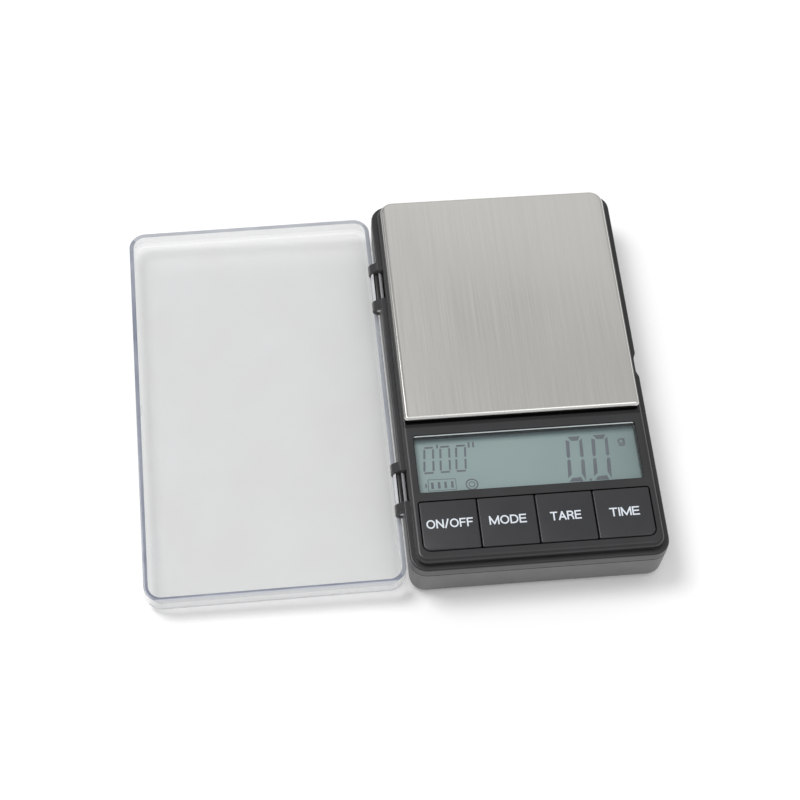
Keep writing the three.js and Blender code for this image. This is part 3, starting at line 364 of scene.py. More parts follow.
def clear(name):
    look = clearLooks[name]
    recipe = Recipe(name)
    facing = recipe.node("ShaderNodeLayerWeight", {}, {"Blend": 0.5}, "Facing")
    alpha = recipe.spread(facing, 0, 1, *look["alpha"])
    # painted light: more see-through near the rear and left walls
    if "borderLight" in look:
        rear, left = recipe.ramp("Y", look["borderLightY"]), recipe.ramp("X", look["borderLightX"])
        alpha = alpha * (1 - rear.maths("MAXIMUM", rear, left) * look["borderLight"])
    if "shade" in look:  # how much of the light it keeps off the table
        alpha = alpha + recipe.rays("Shadow", "Diffuse") * (look["shade"] - alpha)
    ripple = recipe.noise(clearRipple["size"], 3)
    colour = recipe.mixColour(
        recipe.between(ripple, 0, clearRipple["tintShare"]), look["colour"], clearRipple["tint"])
    if "outer" in look:
        colour = recipe.fade(colour, "Y", look["outerY"], look["outer"])
    return recipe.finish(recipe.surface(
        Base_Color=colour,
        Roughness=recipe.between(ripple, look["rough"], look["rough"] + clearRipple["roughMore"]),
        IOR=1.49,
        Alpha=alpha,
        Normal=recipe.bump(ripple, clearRipple["depth"]),
    ))


lcdLook = {
    "dark": (0.27, 0.36, 0.36, 1), "light": (0.3, 0.395, 0.39, 1), "rough": (0.3, 0.4), "haze": 22, "weave": 0.3,
    # darker towards the right end and in a band along the rear edge: painted shade, the rear band a painted
    # shadow of the bezel
    "end": (0.213, 0.29, 0.287, 1), "endX": (48, 70), "rear": (0.12, 0.175, 0.185, 1), "rearShadeY": (-23.5, -22),
}


def lcdGlass():
    look = lcdLook
    recipe = Recipe("lcdGlass")
    tint = recipe.twoTone(recipe.noise(look["haze"], 3), look)
    # painted shade towards the right end and painted shadow along the rear edge
    tint = recipe.fade(tint, "X", look["endX"], look["end"])
    tint = recipe.fade(tint, "Y", look["rearShadeY"], look["rear"])
    weave = recipe.noise(look["weave"])
    return recipe.finish(recipe.surface(Base_Color=tint, Roughness=recipe.between(weave, *look["rough"])))


inkLooks = {
    "lcdInk": {"dark": (0.11, 0.125, 0.15, 1), "light": (0.14, 0.155, 0.18, 1), "speckle": 5, "rough": 0.4},
    "legendInk": {"dark": (0.66, 0.72, 0.8, 1), "light": (0.8, 0.85, 0.9, 1), "speckle": 0.25, "rough": 0.5,
                  "depth": 0.01},
}


def ink(name):
    look = inkLooks[name]
    recipe = Recipe(name)
    speckle = recipe.noise(look["speckle"])
    sockets = {"Base_Color": recipe.twoTone(speckle, look), "Roughness": look["rough"]}
    if "depth" in look:
        sockets["Normal"] = recipe.bump(speckle, look["depth"])
    return recipe.finish(recipe.surface(**sockets))


zebraLook = {
    "dark": (0.02, 0.02, 0.022, 1), "light": (0.3, 0.12, 0.1, 1), "bands": 1200, "wobble": 0.3, "rough": 0.7,
}


def zebra():
    look = zebraLook
    recipe = Recipe("siliconeLayers")
    layers = recipe.node("ShaderNodeTexWave", {"bands_direction": "X"}, {
        "Vector": recipe.place(), "Scale": look["bands"], "Distortion": look["wobble"], "Detail": 1,
    }, "Fac")
    return recipe.finish(recipe.surface(Base_Color=recipe.twoTone(layers, look), Roughness=look["rough"]))


materials = {"brushedPlate": brushedPlate(), "lcdGlass": lcdGlass(), "siliconeLayers": zebra()}
for looks, make in ((plasticLooks, plastic), (metalLooks, metal), (clearLooks, clear), (inkLooks, ink)):
    materials.update({name: make(name) for name in looks})
slotMaterial = {
    "black_plastic": "blackPlastic", "key_plastic": "keyPlastic", "clear_cover": "clearWall",
    "clear_window": "clearWindow", "lcd_glass": "lcdGlass", "plate_steel": "brushedPlate",
    "screw_steel": "screwSteel", "hinge_rod": "hingeRod", "aluminium": "aluminium",
    "silicone_white": "siliconeWhite", "silicone_dark": "siliconeLayers", "foam": "foam",
    "foot_rubber": "footRubber", "white_plastic": "whitePlastic", "chip": "chipPlastic",
    "board": "boardGreen", "contact": "contactNickel", "cell_wrap": "cellWrap",
    "lead_red": "leadRed", "lead_black": "leadBlack",
}
for part in frame["record"]["subparts"]:
    node = frame["nodes"][part["node"]]
    node.data.materials.clear()
    node.data.materials.append(materials[slotMaterial[part["material_slot"]]])
print("materials made:", len(materials))

# Modelling helpers


def onlySelect(piece):
    if bpy.context.object and bpy.context.object.mode != "OBJECT":
        bpy.ops.object.mode_set(mode="OBJECT")
    bpy.ops.object.select_all(action="DESELECT")
    piece.select_set(True)
    bpy.context.view_layer.objects.active = piece


def applyPlace(piece):
    onlySelect(piece)
    bpy.ops.object.transform_apply(location=True, rotation=True, scale=True)


def addBlock(name, low, high):
    bpy.ops.object.select_all(action="DESELECT")
    middle = [(a + b) / 2 * mm for a, b in zip(low, high)]
    bpy.ops.mesh.primitive_cube_add(size=1, location=middle)
    piece = bpy.context.object
    piece.name = name
    piece.scale = [(b - a) * mm for a, b in zip(low, high)]
    applyPlace(piece)
    return piece


def addPost(name, radius, middle, height, lying=False, sides=48):
    bpy.ops.object.select_all(action="DESELECT")
    bpy.ops.mesh.primitive_cylinder_add(
        vertices=sides, radius=radius * mm, depth=height * mm,
        location=[c * mm for c in middle], rotation=(math.pi / 2 if lying else 0, 0, 0))
    piece = bpy.context.object
    piece.name = name
    applyPlace(piece)
    return piece


def startEdit(piece, kind):
    onlySelect(piece)
    bpy.ops.object.mode_set(mode="EDIT")
    bpy.ops.mesh.select_mode(type=kind)


def pick(kind, test):
    bpy.ops.mesh.select_mode(type=kind)
    bpy.ops.mesh.select_all(action="DESELECT")
    shape = bmesh.from_edit_mesh(bpy.context.object.data)
    found = [part for part in (shape.faces if kind == "FACE" else shape.edges) if test(part)]
    for part in found:
        part.select_set(True)
    bmesh.update_edit_mesh(bpy.context.object.data)
    return len(found)


def roundEdges(test, radius, segments):
    if pick("EDGE", test):
        bpy.ops.mesh.bevel(
            offset=radius * mm, segments=segments, profile=0.5, affect="EDGES", clamp_overlap=True)


def upright(edge):
    a, b = (v.co for v in edge.verts)
    return abs(a.x - b.x) < near and abs(a.y - b.y) < near and abs(a.z - b.z) > near


def atHeight(height):
    return lambda edge: all(abs(v.co.z - height * mm) < near for v in edge.verts)


def rimAt(height, steep=0.5):  # edges at this height that a steep face meets
    return lambda edge: atHeight(height)(edge) and any(abs(face.normal.z) < steep for face in edge.link_faces)


def facesUp(face, level=0.99):
    return face.normal.z > level


def facesDown(face, level=0.99):
    return face.normal.z < -level


def everyFace(face):
    return True


def centre(face):
    return face.calc_center_median() / mm


def sink(test, inset, depth):
    pick("FACE", test)
    bpy.ops.mesh.inset(thickness=inset * mm, depth=0, use_even_offset=True)
    bpy.ops.mesh.extrude_region_move(TRANSFORM_OT_translate={"value": (0, 0, depth * mm)})


def combine(piece, tool, operation):
    onlySelect(piece)
    change = piece.modifiers.new("combine", "BOOLEAN")
    change.operation = operation
    change.solver = "EXACT"
    change.object = tool
    bpy.ops.object.modifier_apply(modifier=change.name)
    bpy.data.objects.remove(tool)


def softenEdges(piece, width, segments=2, angle=40):
    onlySelect(piece)
    edge = piece.modifiers.new("soften", "BEVEL")
    edge.width = width * mm
    edge.segments = segments
    edge.limit_method = "ANGLE"
    edge.angle_limit = math.radians(angle)
    edge.use_clamp_overlap = True
    bpy.ops.object.modifier_apply(modifier=edge.name)


def smoothShade(piece, angle=35):
    onlySelect(piece)
    bpy.ops.object.shade_smooth_by_angle(angle=math.radians(angle))


def tidyMesh(piece, merge=0.002, flatAngle=0.4):
    startEdit(piece, "FACE")
    bpy.ops.mesh.select_all(action="SELECT")
    bpy.ops.mesh.remove_doubles(threshold=merge * mm)
    bpy.ops.mesh.dissolve_limited(angle_limit=math.radians(flatAngle))
    bpy.ops.object.mode_set(mode="OBJECT")


def paintFaces(piece, coats):
    piece.data.materials.clear()
    startEdit(piece, "FACE")
    for index, (name, test) in enumerate(coats):
        piece.data.materials.append(materials[name])
        pick("FACE", test)
        piece.active_material_index = index
        bpy.ops.object.material_slot_assign()
    bpy.ops.object.mode_set(mode="OBJECT")


def bar(a, b, width, endA=0, endB=0):
    dx, dy = b[0] - a[0], b[1] - a[1]
    size = math.hypot(dx, dy)
    dx, dy = dx / size, dy / size
    a, b = (a[0] - dx * endA, a[1] - dy * endA), (b[0] + dx * endB, b[1] + dy * endB)
    ox, oy = -dy * width / 2, dx * width / 2
    return ((a[0] + ox, a[1] + oy), (b[0] + ox, b[1] + oy), (b[0] - ox, b[1] - oy), (a[0] - ox, a[1] - oy))


def mitre(before, here, after, width, sharpest=1.5):
    arriving = math.atan2(here[1] - before[1], here[0] - before[0])
    leaving = math.atan2(after[1] - here[1], after[0] - here[0])
    turn = abs(leaving - arriving)
    turn = min(turn, 2 * math.pi - turn, sharpest)
    return width / 2 * math.tan(turn / 2)


def pathBars(spots, width):
    closed = spots[0] == spots[-1]
    count = len(spots) - 1
    reach = []
    for k in range(count + 1):
        if closed and k in (0, count):
            reach.append(mitre(spots[-2], spots[0], spots[1], width))
        else:
            reach.append(width / 2 if k in (0, count) else mitre(spots[k - 1], spots[k], spots[k + 1], width))
    return [bar(spots[k], spots[k + 1], width, reach[k], reach[k + 1]) for k in range(count)]


def oval(middleX, middleY, acrossX, acrossY, count=24):
    turns = [2 * math.pi * (k % count) / count for k in range(count + 1)]
    return tuple((middleX + acrossX * math.cos(t), middleY + acrossY * math.sin(t)) for t in turns)


# Each letter's width in millimetres at a cap height of 2.8, and its strokes in shares of its box
lettering = {
    "height": 2.8, "gap": 0.27,
    "letters": {
        "O": (2.6, (oval(0.5, 0.5, 0.5, 0.5),)),
        "N": (2.25, (((0, 0), (0, 1), (1, 0), (1, 1)),)),
        "/": (1.25, (((0, -0.04), (1, 1.04)),)),
        "F": (1.85, (((0, 0), (0, 1), (1, 1)), ((0, 0.52), (0.88, 0.52)))),
        "M": (2.85, (((0, 0), (0, 1), (0.5, 0.04), (1, 1), (1, 0)),)),
        "D": (2.35, (((0, 0), (0, 1), (0.4, 1), (0.68, 0.96), (0.88, 0.83), (0.98, 0.65), (1, 0.5), (0.98, 0.35),
                      (0.88, 0.17), (0.68, 0.04), (0.4, 0), (0, 0)),)),
        "E": (2.05, (((1, 0), (0, 0), (0, 1), (1, 1)), ((0, 0.52), (0.92, 0.52)))),
        "T": (2.25, (((0, 1), (1, 1)), ((0.5, 1), (0.5, 0)))),
        "A": (2.45, (((0, 0), (0.5, 1), (1, 0)), ((0.17, 0.3), (0.83, 0.3)))),
        "R": (2.15, (((0, 0), (0, 1), (0.62, 1), (0.85, 0.94), (0.94, 0.76), (0.85, 0.58), (0.62, 0.5), (0, 0.5)),
                     ((0.6, 0.5), (0.9, 0.28), (0.98, 0)))),
        "I": (0.45, (((0, 0), (0, 1)),)),
        "g": (2.2, (oval(0.46, 0.64, 0.46, 0.36), ((1, 1), (1, 0.18), (0.85, 0.03), (0.5, 0), (0.1, 0.05)))),
    },
}


def wordBars(word, middleX, middleY, width, height, stroke):
    letters = [lettering["letters"][letter] for letter in word]
    gap = lettering["gap"]
    stretch = width / (sum(letter[0] for letter in letters) + gap * (len(word) - 1))
    x = middleX - width / 2
    bars = []
    for letterWidth, strokes in letters:
        inner, rise = letterWidth * stretch - stroke, height - stroke
        for spots in strokes:
            placed = [(x + stroke / 2 + u * inner, middleY - rise / 2 + v * rise) for u, v in spots]
            bars += pathBars(placed, stroke)
        x += (letterWidth + gap) * stretch
    return bars


def makeMark(shape, rise):
    curve = bpy.data.curves.new("mark", "CURVE")
    curve.dimensions = "2D"
    curve.fill_mode = "BOTH"
    curve.extrude = rise / 2 * mm
    line = curve.splines.new("POLY")
    line.points.add(len(shape) - 1)
    for spot, (x, y) in zip(line.points, shape):
        spot.co = (x * mm, y * mm, 0, 1)
    line.use_cyclic_u = True
    mark = bpy.data.objects.new("mark", curve)
    bpy.context.scene.collection.objects.link(mark)
    onlySelect(mark)
    bpy.ops.object.convert(target="MESH")
    return bpy.context.object


def printedShapes(name, shapes, s, inkName):
    marks = [makeMark(shape, s["rise"]) for shape in shapes]
    for index, mark in enumerate(marks):  # crossing bars lie at different heights, so no tops coincide
        mark.location.z = (s["base"] + s["rise"] / 2 + index % s["layers"] * s["layer"]) * mm
        applyPlace(mark)
    for mark in marks:
        mark.select_set(True)
    bpy.ops.object.join()
    piece = bpy.context.object
    piece.name = name
    piece.data.materials.clear()
    piece.data.materials.append(materials[inkName])
    return piece


def settle(piece, body, slotName, node, ownLook=False):
    if not ownLook:
        piece.data.materials.clear()
        piece.data.materials.append(materials[slotMaterial[slotName]])
    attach(piece, body)
    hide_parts(node)


def finerCopy(node, name, body, s, shape=None, coats=None):
    piece = bpy.data.objects.new(name, frame["nodes"][node].data.copy())
    bpy.context.scene.collection.objects.link(piece)
    onlySelect(piece)
    bpy.ops.mesh.customdata_custom_splitnormals_clear()
    tidyMesh(piece)
    if shape:
        shape(piece, s)
    softenEdges(piece, s["brokenEdge"])
    if coats:
        paintFaces(piece, coats)
    smoothShade(piece)
    weigh = piece.modifiers.new("weigh", "WEIGHTED_NORMAL")
    weigh.keep_sharp = True
    weigh.weight = s["flatWeight"]
    bpy.ops.object.modifier_apply(modifier=weigh.name)
    settle(piece, body, "black_plastic", node, ownLook=bool(coats))


# Housing shells and battery door, from their solids with every edge broken

housing = {
    "middleX": 38.45, "halfWidth": 38.15, "halfLength": 64, "corner": 5.2, "ledge": 16, "deck": 18.8, "step": 1.8,
    "deckRound": 0.8, "deckWiden": 1.6, "ledgeRound": 0.5, "ledgeWiden": 1.4, "frontEnd": -58.5, "slack": 0.01,
    "earSide": -0.2, "earRound": 0.4, "earSharp": 0.5, "pinHeight": 13.1, "earClear": 1.25,
    "sideBand": 1.5, "sideSlope": 0.6, "brokenEdge": 0.12, "flatWeight": 80,
}


def widenRound(piece, s, inset, top, radius, widen, test):
    cornerX, cornerY = s["halfWidth"] - s["corner"], s["halfLength"] - s["corner"]
    slack = s["slack"]
    for vert in piece.data.vertices:
        x, y, z = vert.co.x / mm - s["middleX"], vert.co.y / mm, vert.co.z / mm
        overX, overY = max(abs(x) - cornerX, 0), max(abs(y) - cornerY, 0)
        reach = math.hypot(overX, overY)
        depth, drop = s["corner"] - reach - inset, top - z
        if reach < slack or not test(y) or not -slack < depth < radius + slack \
                or not -slack < drop < radius + slack or math.hypot(depth, drop) > radius + slack:
            continue
        share = (s["corner"] - inset - depth * widen) / reach
        vert.co.x = (math.copysign(min(abs(x), cornerX) + overX * share, x) + s["middleX"]) * mm
        vert.co.y = math.copysign(min(abs(y), cornerY) + overY * share, y) * mm
        vert.co.z = (top - drop * widen) * mm


def softShell(piece, s):
    def onEar(edge):
        ends = [vert.co / mm for vert in edge.verts]
        return len(edge.link_faces) == 2 and edge.calc_face_angle(0) > s["earSharp"] and all(
            end.x < s["earSide"] and math.hypot(end.x, end.z - s["pinHeight"]) > s["earClear"] for end in ends)

    widenRound(piece, s, s["step"], s["deck"], s["deckRound"], s["deckWiden"], lambda y: True)
    widenRound(piece, s, 0, s["ledge"], s["ledgeRound"], s["ledgeWiden"], lambda y: y < s["frontEnd"])
    startEdit(piece, "EDGE")
    roundEdges(onEar, s["earRound"], segments=3)
    bpy.ops.object.mode_set(mode="OBJECT")


def outerSide(face):
    at = centre(face)
    return abs(face.normal.z) < housing["sideSlope"] and at.z < housing["ledge"] and (
        abs(at.x - housing["middleX"]) > housing["halfWidth"] - housing["sideBand"]
        or abs(at.y) > housing["halfLength"] - housing["sideBand"])


# outer side walls get the lighter copy: painted reflection of the white floor
upperCoats = (("deckPlastic", everyFace), ("upperSide", outerSide))
lowerCoats = (("blackPlastic", everyFace), ("lowerSide", outerSide))
finerCopy("upper_housing", "upperShell", "housing", housing, shape=softShell, coats=upperCoats)
finerCopy("lower_housing", "lowerShell", "housing", housing, coats=lowerCoats)
finerCopy("battery_door", "bayDoor", "door", housing)
print("housing made")

# Weighing plate

plate = {
    "low": (2.95, -16.6, 19.3), "high": (73.95, 62.2, 20.9), "backRadius": 4, "frontRadius": 1.2,
    "bend": 1, "sheet": 0.8, "burr": 0.12,
}


def makePlate(s):
    piece = addBlock("steelPlate", s["low"], s["high"])
    foot, top = s["low"][2], s["high"][2]
    startEdit(piece, "EDGE")
    roundEdges(lambda e: upright(e) and e.verts[0].co.y > 0, s["backRadius"], segments=12)
    roundEdges(lambda e: upright(e) and e.verts[0].co.y < s["low"][1] * mm + near, s["frontRadius"],
               segments=8)
    sink(facesDown, s["sheet"], top - s["sheet"] - foot)
    roundEdges(rimAt(top), s["bend"], segments=6)
    roundEdges(rimAt(foot), s["burr"], segments=2)
    bpy.ops.object.mode_set(mode="OBJECT")
    smoothShade(piece)
    settle(piece, "pan", "plate_steel", "weighing_plate")


makePlate(plate)
print("plate made")

# Keys

keys = {
    "names": ("on_off_key", "mode_key", "tare_key", "time_key"), "gap": 0.35, "left": 4.45, "right": 72.45,
    "front": -58.95, "back": -43.25, "under": 15.7, "top": 18.9, "frontCorner": 2.1, "backCorner": 0.6,
    "innerCorner": 0.5, "topRound": 0.35, "flangeTop": 16.55, "flangeFront": 0.7, "flangeBack": 1.15,
    "flangeInset": 0.3, "wall": 1.2, "skin": 1.3, "stemRadius": 2.2, "stemDrop": 0.4,
}


def makeKey(s, index):
    count = len(s["names"])
    width = (s["right"] - s["left"] - (count - 1) * s["gap"]) / count
    x0 = s["left"] + index * (width + s["gap"])
    x1 = x0 + width
    middleX, middleY = (x0 + x1) / 2, (s["front"] + s["back"]) / 2
    piece = addBlock("keyCap" + str(index + 1), (x0, s["front"], s["under"]), (x1, s["back"], s["top"]))
    startEdit(piece, "EDGE")
    outerX = {0: x0, count - 1: x1}.get(index)  # the side that ends the row

    def corner(isOuter, isFront):
        def test(edge):
            at = edge.verts[0].co
            onOuter = outerX is not None and abs(at.x - outerX * mm) < near
            atCorner = min(abs(at.x - x * mm) for x in (x0, x1)) < near \
                and min(abs(at.y - y * mm) for y in (s["front"], s["back"])) < near
            return upright(edge) and atCorner and onOuter == isOuter and (at.y < middleY * mm) == isFront
        return test

    roundEdges(corner(True, True), s["frontCorner"], segments=10)
    roundEdges(corner(True, False), s["backCorner"], segments=6)
    roundEdges(corner(False, True), s["innerCorner"], segments=5)
    roundEdges(corner(False, False), s["innerCorner"], segments=5)
    roundEdges(rimAt(s["top"]), s["topRound"], segments=4)
    bpy.ops.object.mode_set(mode="OBJECT")
    flange = addBlock("flange", (x0 + s["flangeInset"], s["front"] - s["flangeFront"], s["under"]),
                      (x1 - s["flangeInset"], s["back"] + s["flangeBack"], s["flangeTop"]))
    combine(piece, flange, "UNION")
    hollow = addBlock("hollow", (x0 + s["wall"], s["front"] + s["wall"], s["under"] - clearance),
                      (x1 - s["wall"], s["back"] - s["wall"], s["top"] - s["skin"]))
    combine(piece, hollow, "DIFFERENCE")
    stemTop, stemFoot = s["top"] - s["skin"] + overlap, s["under"] - s["stemDrop"]
    stem = addPost("stem", s["stemRadius"], (middleX, middleY, (stemTop + stemFoot) / 2), stemTop - stemFoot)
    combine(piece, stem, "UNION")
    smoothShade(piece)
    settle(piece, s["names"][index], "key_plastic", s["names"][index])


for keyIndex in range(len(keys["names"])):
    makeKey(keys, keyIndex)
print("keys made")

# Key legends, printed on the caps: each word, its middle and its width

legends = {
    "words": (("ON/OFF", 12.79, -50.61, 13.65), ("MODE", 29.79, -50.67, 10.9), ("TARE", 46.83, -50.73, 9.1),
              ("TIME", 64.17, -50.79, 8.85)),
    "stroke": 0.43, "base": 18.895, "rise": 0.02, "layer": 0.004, "layers": 4,
}


def makeLegend(s, index):
    word, middleX, middleY, width = s["words"][index]
    bars = wordBars(word, middleX, middleY, width, lettering["height"], s["stroke"])
    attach(printedShapes("keyLegend" + str(index + 1), bars, s, "legendInk"), keys["names"][index])


for keyIndex in range(len(legends["words"])):
    makeLegend(legends, keyIndex)
print("legends made")

# Display window, with a painted highlight along the bevel of its rear edge

window = {
    "low": (5.1, -40.05, 17.55), "high": (71.8, -21.05, 18.55), "corner": 0.8, "bevel": 0.2,
    "brightEdge": 0.25, "brightSlope": 0.2,
}


def makeWindow(s):
    piece = addBlock("displayCover", s["low"], s["high"])
    startEdit(piece, "EDGE")
    roundEdges(upright, s["corner"], segments=6)
    roundEdges(atHeight(s["high"][2]), s["bevel"], segments=2)
    pick("FACE", facesUp)
    bpy.ops.mesh.inset(thickness=s["brightEdge"] * mm, depth=0)
    rear = s["high"][1] - s["bevel"] - s["brightEdge"]
    # the rear strip of the top is painted pale: a painted highlight
    paintFaces(piece, (("clearWindow", everyFace),
                       ("clearEdge", lambda f: f.normal.z > s["brightSlope"] and centre(f).y > rear)))
    smoothShade(piece)
    settle(piece, "housing", "clear_window", "display_window", ownLook=True)


makeWindow(window)
print("window made")

# What the display shows, as thin shapes on the glass, placed from the middle of the glass

display = {
    "base": 16.4, "rise": 0.02, "layer": 0.004, "layers": 4,
    "digit": (
        ((13.06, -23.85), (16.82, -23.8), (16.1, -25.28), (14.07, -25.3)),
        ((12.36, -24.9), (13.46, -25.3), (12.97, -30.49), (12.46, -31.07), (11.95, -30.53)),
        ((17.32, -24.55), (16.4, -25.5), (16.02, -30.57), (16.55, -31.12), (17.08, -30.57)),
        ((11.9, -31.84), (12.44, -31.37), (12.93, -31.89), (12.62, -36.51), (11.4, -37.6)),
        ((16.0, -32.15), (16.6, -31.5), (17.08, -32.13), (16.6, -38.75), (15.6, -36.3)),
        ((11.54, -38.89), (15.73, -38.98), (15.27, -37.56), (12.58, -37.69)),
    ),
    "digitShift": (0, 7.75),
    "point": ((17.65, -38.26), (18.3, -38.26), (18.25, -39.01), (17.6, -39.01)),
    "small": (((-30.04, -24.34), (-27.47, -24.34), (-28.16, -32.76), (-30.89, -32.77)),
              ((-25.29, -24.34), (-22.66, -24.34), (-23.25, -32.76), (-26.0, -32.76)),
              ((-20.55, -24.34), (-17.89, -24.34), (-18.57, -32.76), (-21.33, -32.76))),
    "smallStroke": 0.6, "smallGap": (-28.1, -28.85),
    "primes": ((-26.15, -23.5, -24.7), (-16.7, -23.4, -25.15), (-15.4, -23.4, -25.15)), "primeLean": 0.08,
    "battery": ((-30.06, -35.01), (-21.96, -35.22), (-22.01, -38.73), (-30.31, -38.74)),
    "batteryLine": 0.2, "batteryNub": (-30.85, -36.3, -37.6, 0.5),
    "bars": (-28.95, -26.95, -25.05, -23.05), "barWidth": 0.75, "barEnds": (-36, -38.1), "barLean": 0.06,
    "rings": ((-17.3, -37.45, 1.7, 0.42, 20), (-17.3, -37.45, 0.85, 0.3, 14)),
    "unit": ("g", 28.99, -26.8, 2.2), "unitHeight": 2.75, "unitStroke": 0.52, "shift": (38.36, 0.2),
}


def along(a, b, y):
    share = (y - a[1]) / (b[1] - a[1])
    return (a[0] + (b[0] - a[0]) * share, y)


def outlineBars(spots, width):
    return [bar(a, b, width) for a, b in zip(spots, spots[1:] + spots[:1])]


def displayShapes(s):
    shapes = [[(x + shift, y) for x, y in one] for shift in s["digitShift"] for one in s["digit"]]
    shapes.append(s["point"])
    stroke = s["smallStroke"]
    high, low = s["smallGap"]
    for a, b, c, d in s["small"]:
        shapes.append(bar(a, b, stroke))
        shapes.append(bar(d, c, stroke))
        for top, foot in ((a, d), (b, c)):
            shapes.append(bar(along(top, foot, top[1] - stroke), along(top, foot, high), stroke))
            shapes.append(bar(along(top, foot, low), along(top, foot, foot[1] + stroke), stroke))
    shapes += [bar((x, top), (x - s["primeLean"], foot), stroke) for x, top, foot in s["primes"]]
    shapes += outlineBars(s["battery"], s["batteryLine"])
    x, top, foot, width = s["batteryNub"]
    shapes.append(bar((x, top), (x, foot), width))
    top, foot = s["barEnds"]
    shapes += [bar((x, top), (x - s["barLean"], foot), s["barWidth"]) for x in s["bars"]]
    for x, y, radius, width, count in s["rings"]:
        shapes += outlineBars(oval(x, y, radius, radius, count)[:-1], width)
    word, x, y, width = s["unit"]
    shapes += wordBars(word, x, y, width, s["unitHeight"], s["unitStroke"])
    shiftX, shiftY = s["shift"]
    return [[(x + shiftX, y + shiftY) for x, y in shape] for shape in shapes]


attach(printedShapes("displayMarks", displayShapes(display), display, "lcdInk"), "housing")
print("display made")

# Cover, modelled level and then tilted about its hinge

cover = {
    "hinge": 13.1, "near": -0.3, "far": -76.6, "halfLength": 64, "bottom": 3.25, "rim": 9.95, "corner": 5.2,
    "wall": 1.4, "floor": 1.3, "outerRound": 1.5, "innerRound": 0.8, "rimRound": 0.22, "tilt": -1.1,
    "knuckleY": (-35.9, 34.9), "knuckleLength": 9.9, "knuckleRadius": 1.75, "knuckleShift": 0.2, "bore": 0.98,
    "mouth": 1.65, "root": 1.05, "catchHalf": 1.5, "catchDepth": 0.3, "catchTop": 9.55, "catchFoot": 8.65,
    "rimBand": 0.3, "bendSlope": 0.1, "wallSlope": 0.5, "levelSlope": 0.9,
}


def makeKnuckle(s, y):
    half = s["knuckleLength"] / 2
    ring = addPost("ring", s["knuckleRadius"], (s["knuckleShift"], y, s["hinge"]), s["knuckleLength"],
                   lying=True, sides=40)
    arm = addBlock("arm", (s["knuckleShift"] - s["knuckleRadius"], y - half, s["rim"] - s["root"]),
                   (s["near"], y + half, s["hinge"] - overlap))
    combine(ring, arm, "UNION")
    bore = addPost("bore", s["bore"], (0, y, s["hinge"]), s["knuckleLength"] + 2 * clearance,
                   lying=True, sides=32)
    combine(ring, bore, "DIFFERENCE")
    mouth = addBlock("mouth", (-s["mouth"] / 2, y - half - clearance, s["hinge"]),
                     (s["mouth"] / 2, y + half + clearance, s["hinge"] + s["knuckleRadius"] + clearance))
    combine(ring, mouth, "DIFFERENCE")
    return ring


def coverCoats(s):
    frontEnd = s["corner"] / 2 - s["halfLength"]
    side, top = s["near"] + near / mm, s["rim"] + near / mm

    def onWall(face):
        return abs(face.normal.z) < s["wallSlope"]

    def onRim(face):
        return face.normal.z > s["wallSlope"] and centre(face).z > s["rim"] - s["rimBand"]

    def onBend(face):
        return face.normal.z < -s["bendSlope"] and centre(face).z < s["bottom"] + s["outerRound"]

    # each region's colour is painted reflection and shade of the clear walls
    return (
        ("clearWall", everyFace),
        ("clearSide", lambda f: onWall(f) and abs(f.normal.x) > abs(f.normal.y)),
        ("clearFront", lambda f: onWall(f) and centre(f).y < frontEnd),
        ("clearBend", onBend),
        ("clearFoot", lambda f: onBend(f) and centre(f).y < frontEnd),
        ("clearRim", onRim),
        ("clearRimRight", lambda f: onRim(f) and centre(f).x > s["near"] - s["corner"]),
        ("clearRimFront", lambda f: onRim(f) and centre(f).y < frontEnd),
        ("clearRear", lambda f: onRim(f) and centre(f).y > -frontEnd),
        ("clearFloor", lambda f: abs(f.normal.z) > s["levelSlope"] and centre(f).z < s["rim"] / 2),
        ("clearKnuckle", lambda f: centre(f).x > side or centre(f).z > top),
    )


def makeCover(s):
    piece = addBlock("clearCover", (s["far"], -s["halfLength"], s["bottom"]),
                     (s["near"], s["halfLength"], s["rim"]))
    floorTop = s["bottom"] + s["floor"]
    startEdit(piece, "EDGE")
    roundEdges(upright, s["corner"], segments=14)
    roundEdges(atHeight(s["bottom"]), s["outerRound"], segments=6)
    sink(facesUp, s["wall"], floorTop - s["rim"])
    roundEdges(atHeight(floorTop), s["innerRound"], segments=4)
    roundEdges(rimAt(s["rim"]), s["rimRound"], segments=2)
    bpy.ops.object.mode_set(mode="OBJECT")
    inner = s["far"] + s["wall"]
    catch = addBlock("catch", (inner - overlap, -s["catchHalf"], s["catchFoot"]),
                     (inner + s["catchDepth"], s["catchHalf"], s["catchTop"]))
    combine(piece, catch, "UNION")
    for y in s["knuckleY"]:
        combine(piece, makeKnuckle(s, y), "UNION")
    paintFaces(piece, coverCoats(s))
    pivot = Matrix.Translation((0, 0, s["hinge"] * mm))
    piece.matrix_world = pivot @ Matrix.Rotation(math.radians(s["tilt"]), 4, "Y") @ pivot.inverted()
    applyPlace(piece)
    smoothShade(piece)
    settle(piece, "cover", "clear_cover", "lid", ownLook=True)


makeCover(cover)
print("cover made")

# Feet and hinge pins

feet = {"x": (6.65, 70.25), "y": (-57, 57), "radius": 3.8, "top": 1.6, "edge": 0.4, "rim": 0.9, "dish": 0.12}
rods = {"ends": ((-43.95, -27.85), (26.85, 42.95)), "radius": 0.9, "height": 13.1, "edge": 0.15,
        "endSlope": 0.9, "nodes": ("hinge_rod_front", "hinge_rod_rear")}


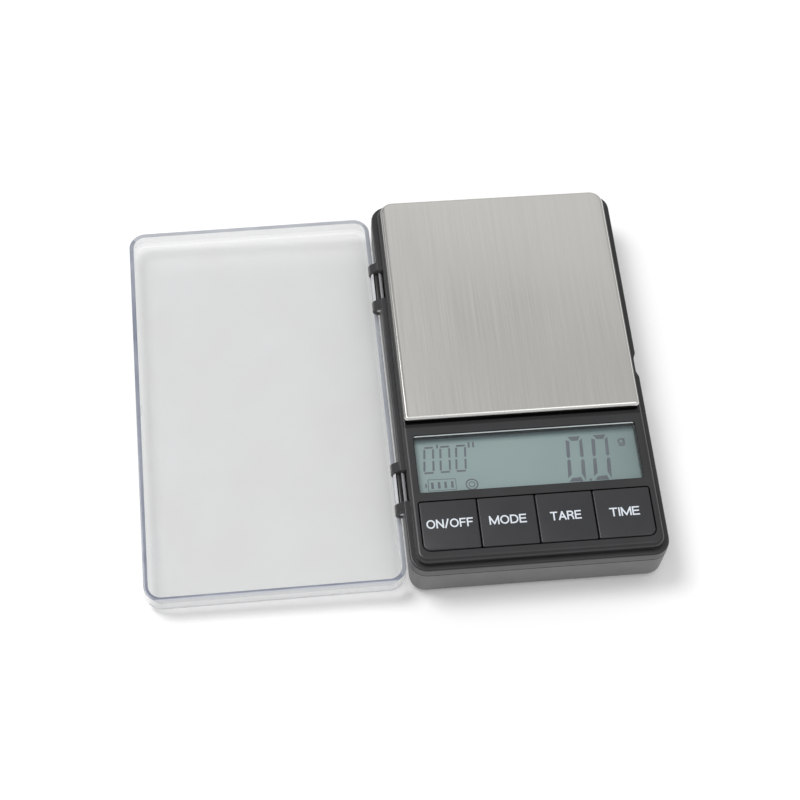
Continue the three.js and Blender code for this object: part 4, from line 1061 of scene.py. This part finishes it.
def makeFeet(s):
    first = addPost("foot1", s["radius"], (0, 0, s["top"] / 2), s["top"], sides=64)
    startEdit(first, "EDGE")
    roundEdges(atHeight(0), s["edge"], segments=3)
    sink(facesDown, s["rim"], s["dish"])
    bpy.ops.object.mode_set(mode="OBJECT")
    smoothShade(first)
    places = [(x, y) for x in s["x"] for y in s["y"]]
    pieces = [first]
    for index in range(1, len(places)):
        onlySelect(first)
        bpy.ops.object.duplicate()
        pieces.append(bpy.context.object)
        pieces[-1].name = "foot" + str(index + 1)
    for index, (piece, (x, y)) in enumerate(zip(pieces, places)):
        piece.location = (x * mm, y * mm, 0)
        applyPlace(piece)
        settle(piece, "housing", "foot_rubber", "foot_" + str(index + 1))


def makeRods(s):
    for index, (y0, y1) in enumerate(s["ends"]):
        piece = addPost("hingePin" + str(index + 1), s["radius"], (0, (y0 + y1) / 2, s["height"]), y1 - y0,
                        lying=True, sides=32)
        startEdit(piece, "EDGE")
        for end in (y0, y1):
            roundEdges(lambda e: all(abs(v.co.y - end * mm) < near for v in e.verts), s["edge"], segments=2)
        # the pin ends are painted near white: a painted glint
        paintFaces(piece, (("hingeRod", everyFace), ("pinEnd", lambda f: abs(f.normal.y) > s["endSlope"])))
        smoothShade(piece)
        settle(piece, "housing", "hinge_rod", s["nodes"][index], ownLook=True)


makeFeet(feet)
makeRods(rods)
print("feet and pins made")

# Floor


def makeFloor(setup):
    bpy.ops.object.select_all(action="DESELECT")
    bpy.ops.mesh.primitive_plane_add(size=setup["floorSize"])
    floor = bpy.context.object
    floor.name = "floor"
    recipe = Recipe("floorWhite")
    matt = recipe.node("ShaderNodeBsdfDiffuse", {}, {"Color": setup["floorColour"]})
    glow = recipe.node("ShaderNodeEmission", {}, {"Color": (1, 1, 1, 1), "Strength": setup["floorLift"]})
    both = recipe.node("ShaderNodeAddShader", {}, {0: matt, 1: glow})
    seen = recipe.rays("Camera", "Glossy", "Transmission")
    mixed = recipe.node("ShaderNodeMixShader", {}, {0: seen, 1: matt, 2: both})
    floor.data.materials.append(recipe.finish(mixed))


makeFloor(lightSetup)
print("floor made")

for item in bpy.context.scene.objects:  # hidden ones too
    item.select_set(False)
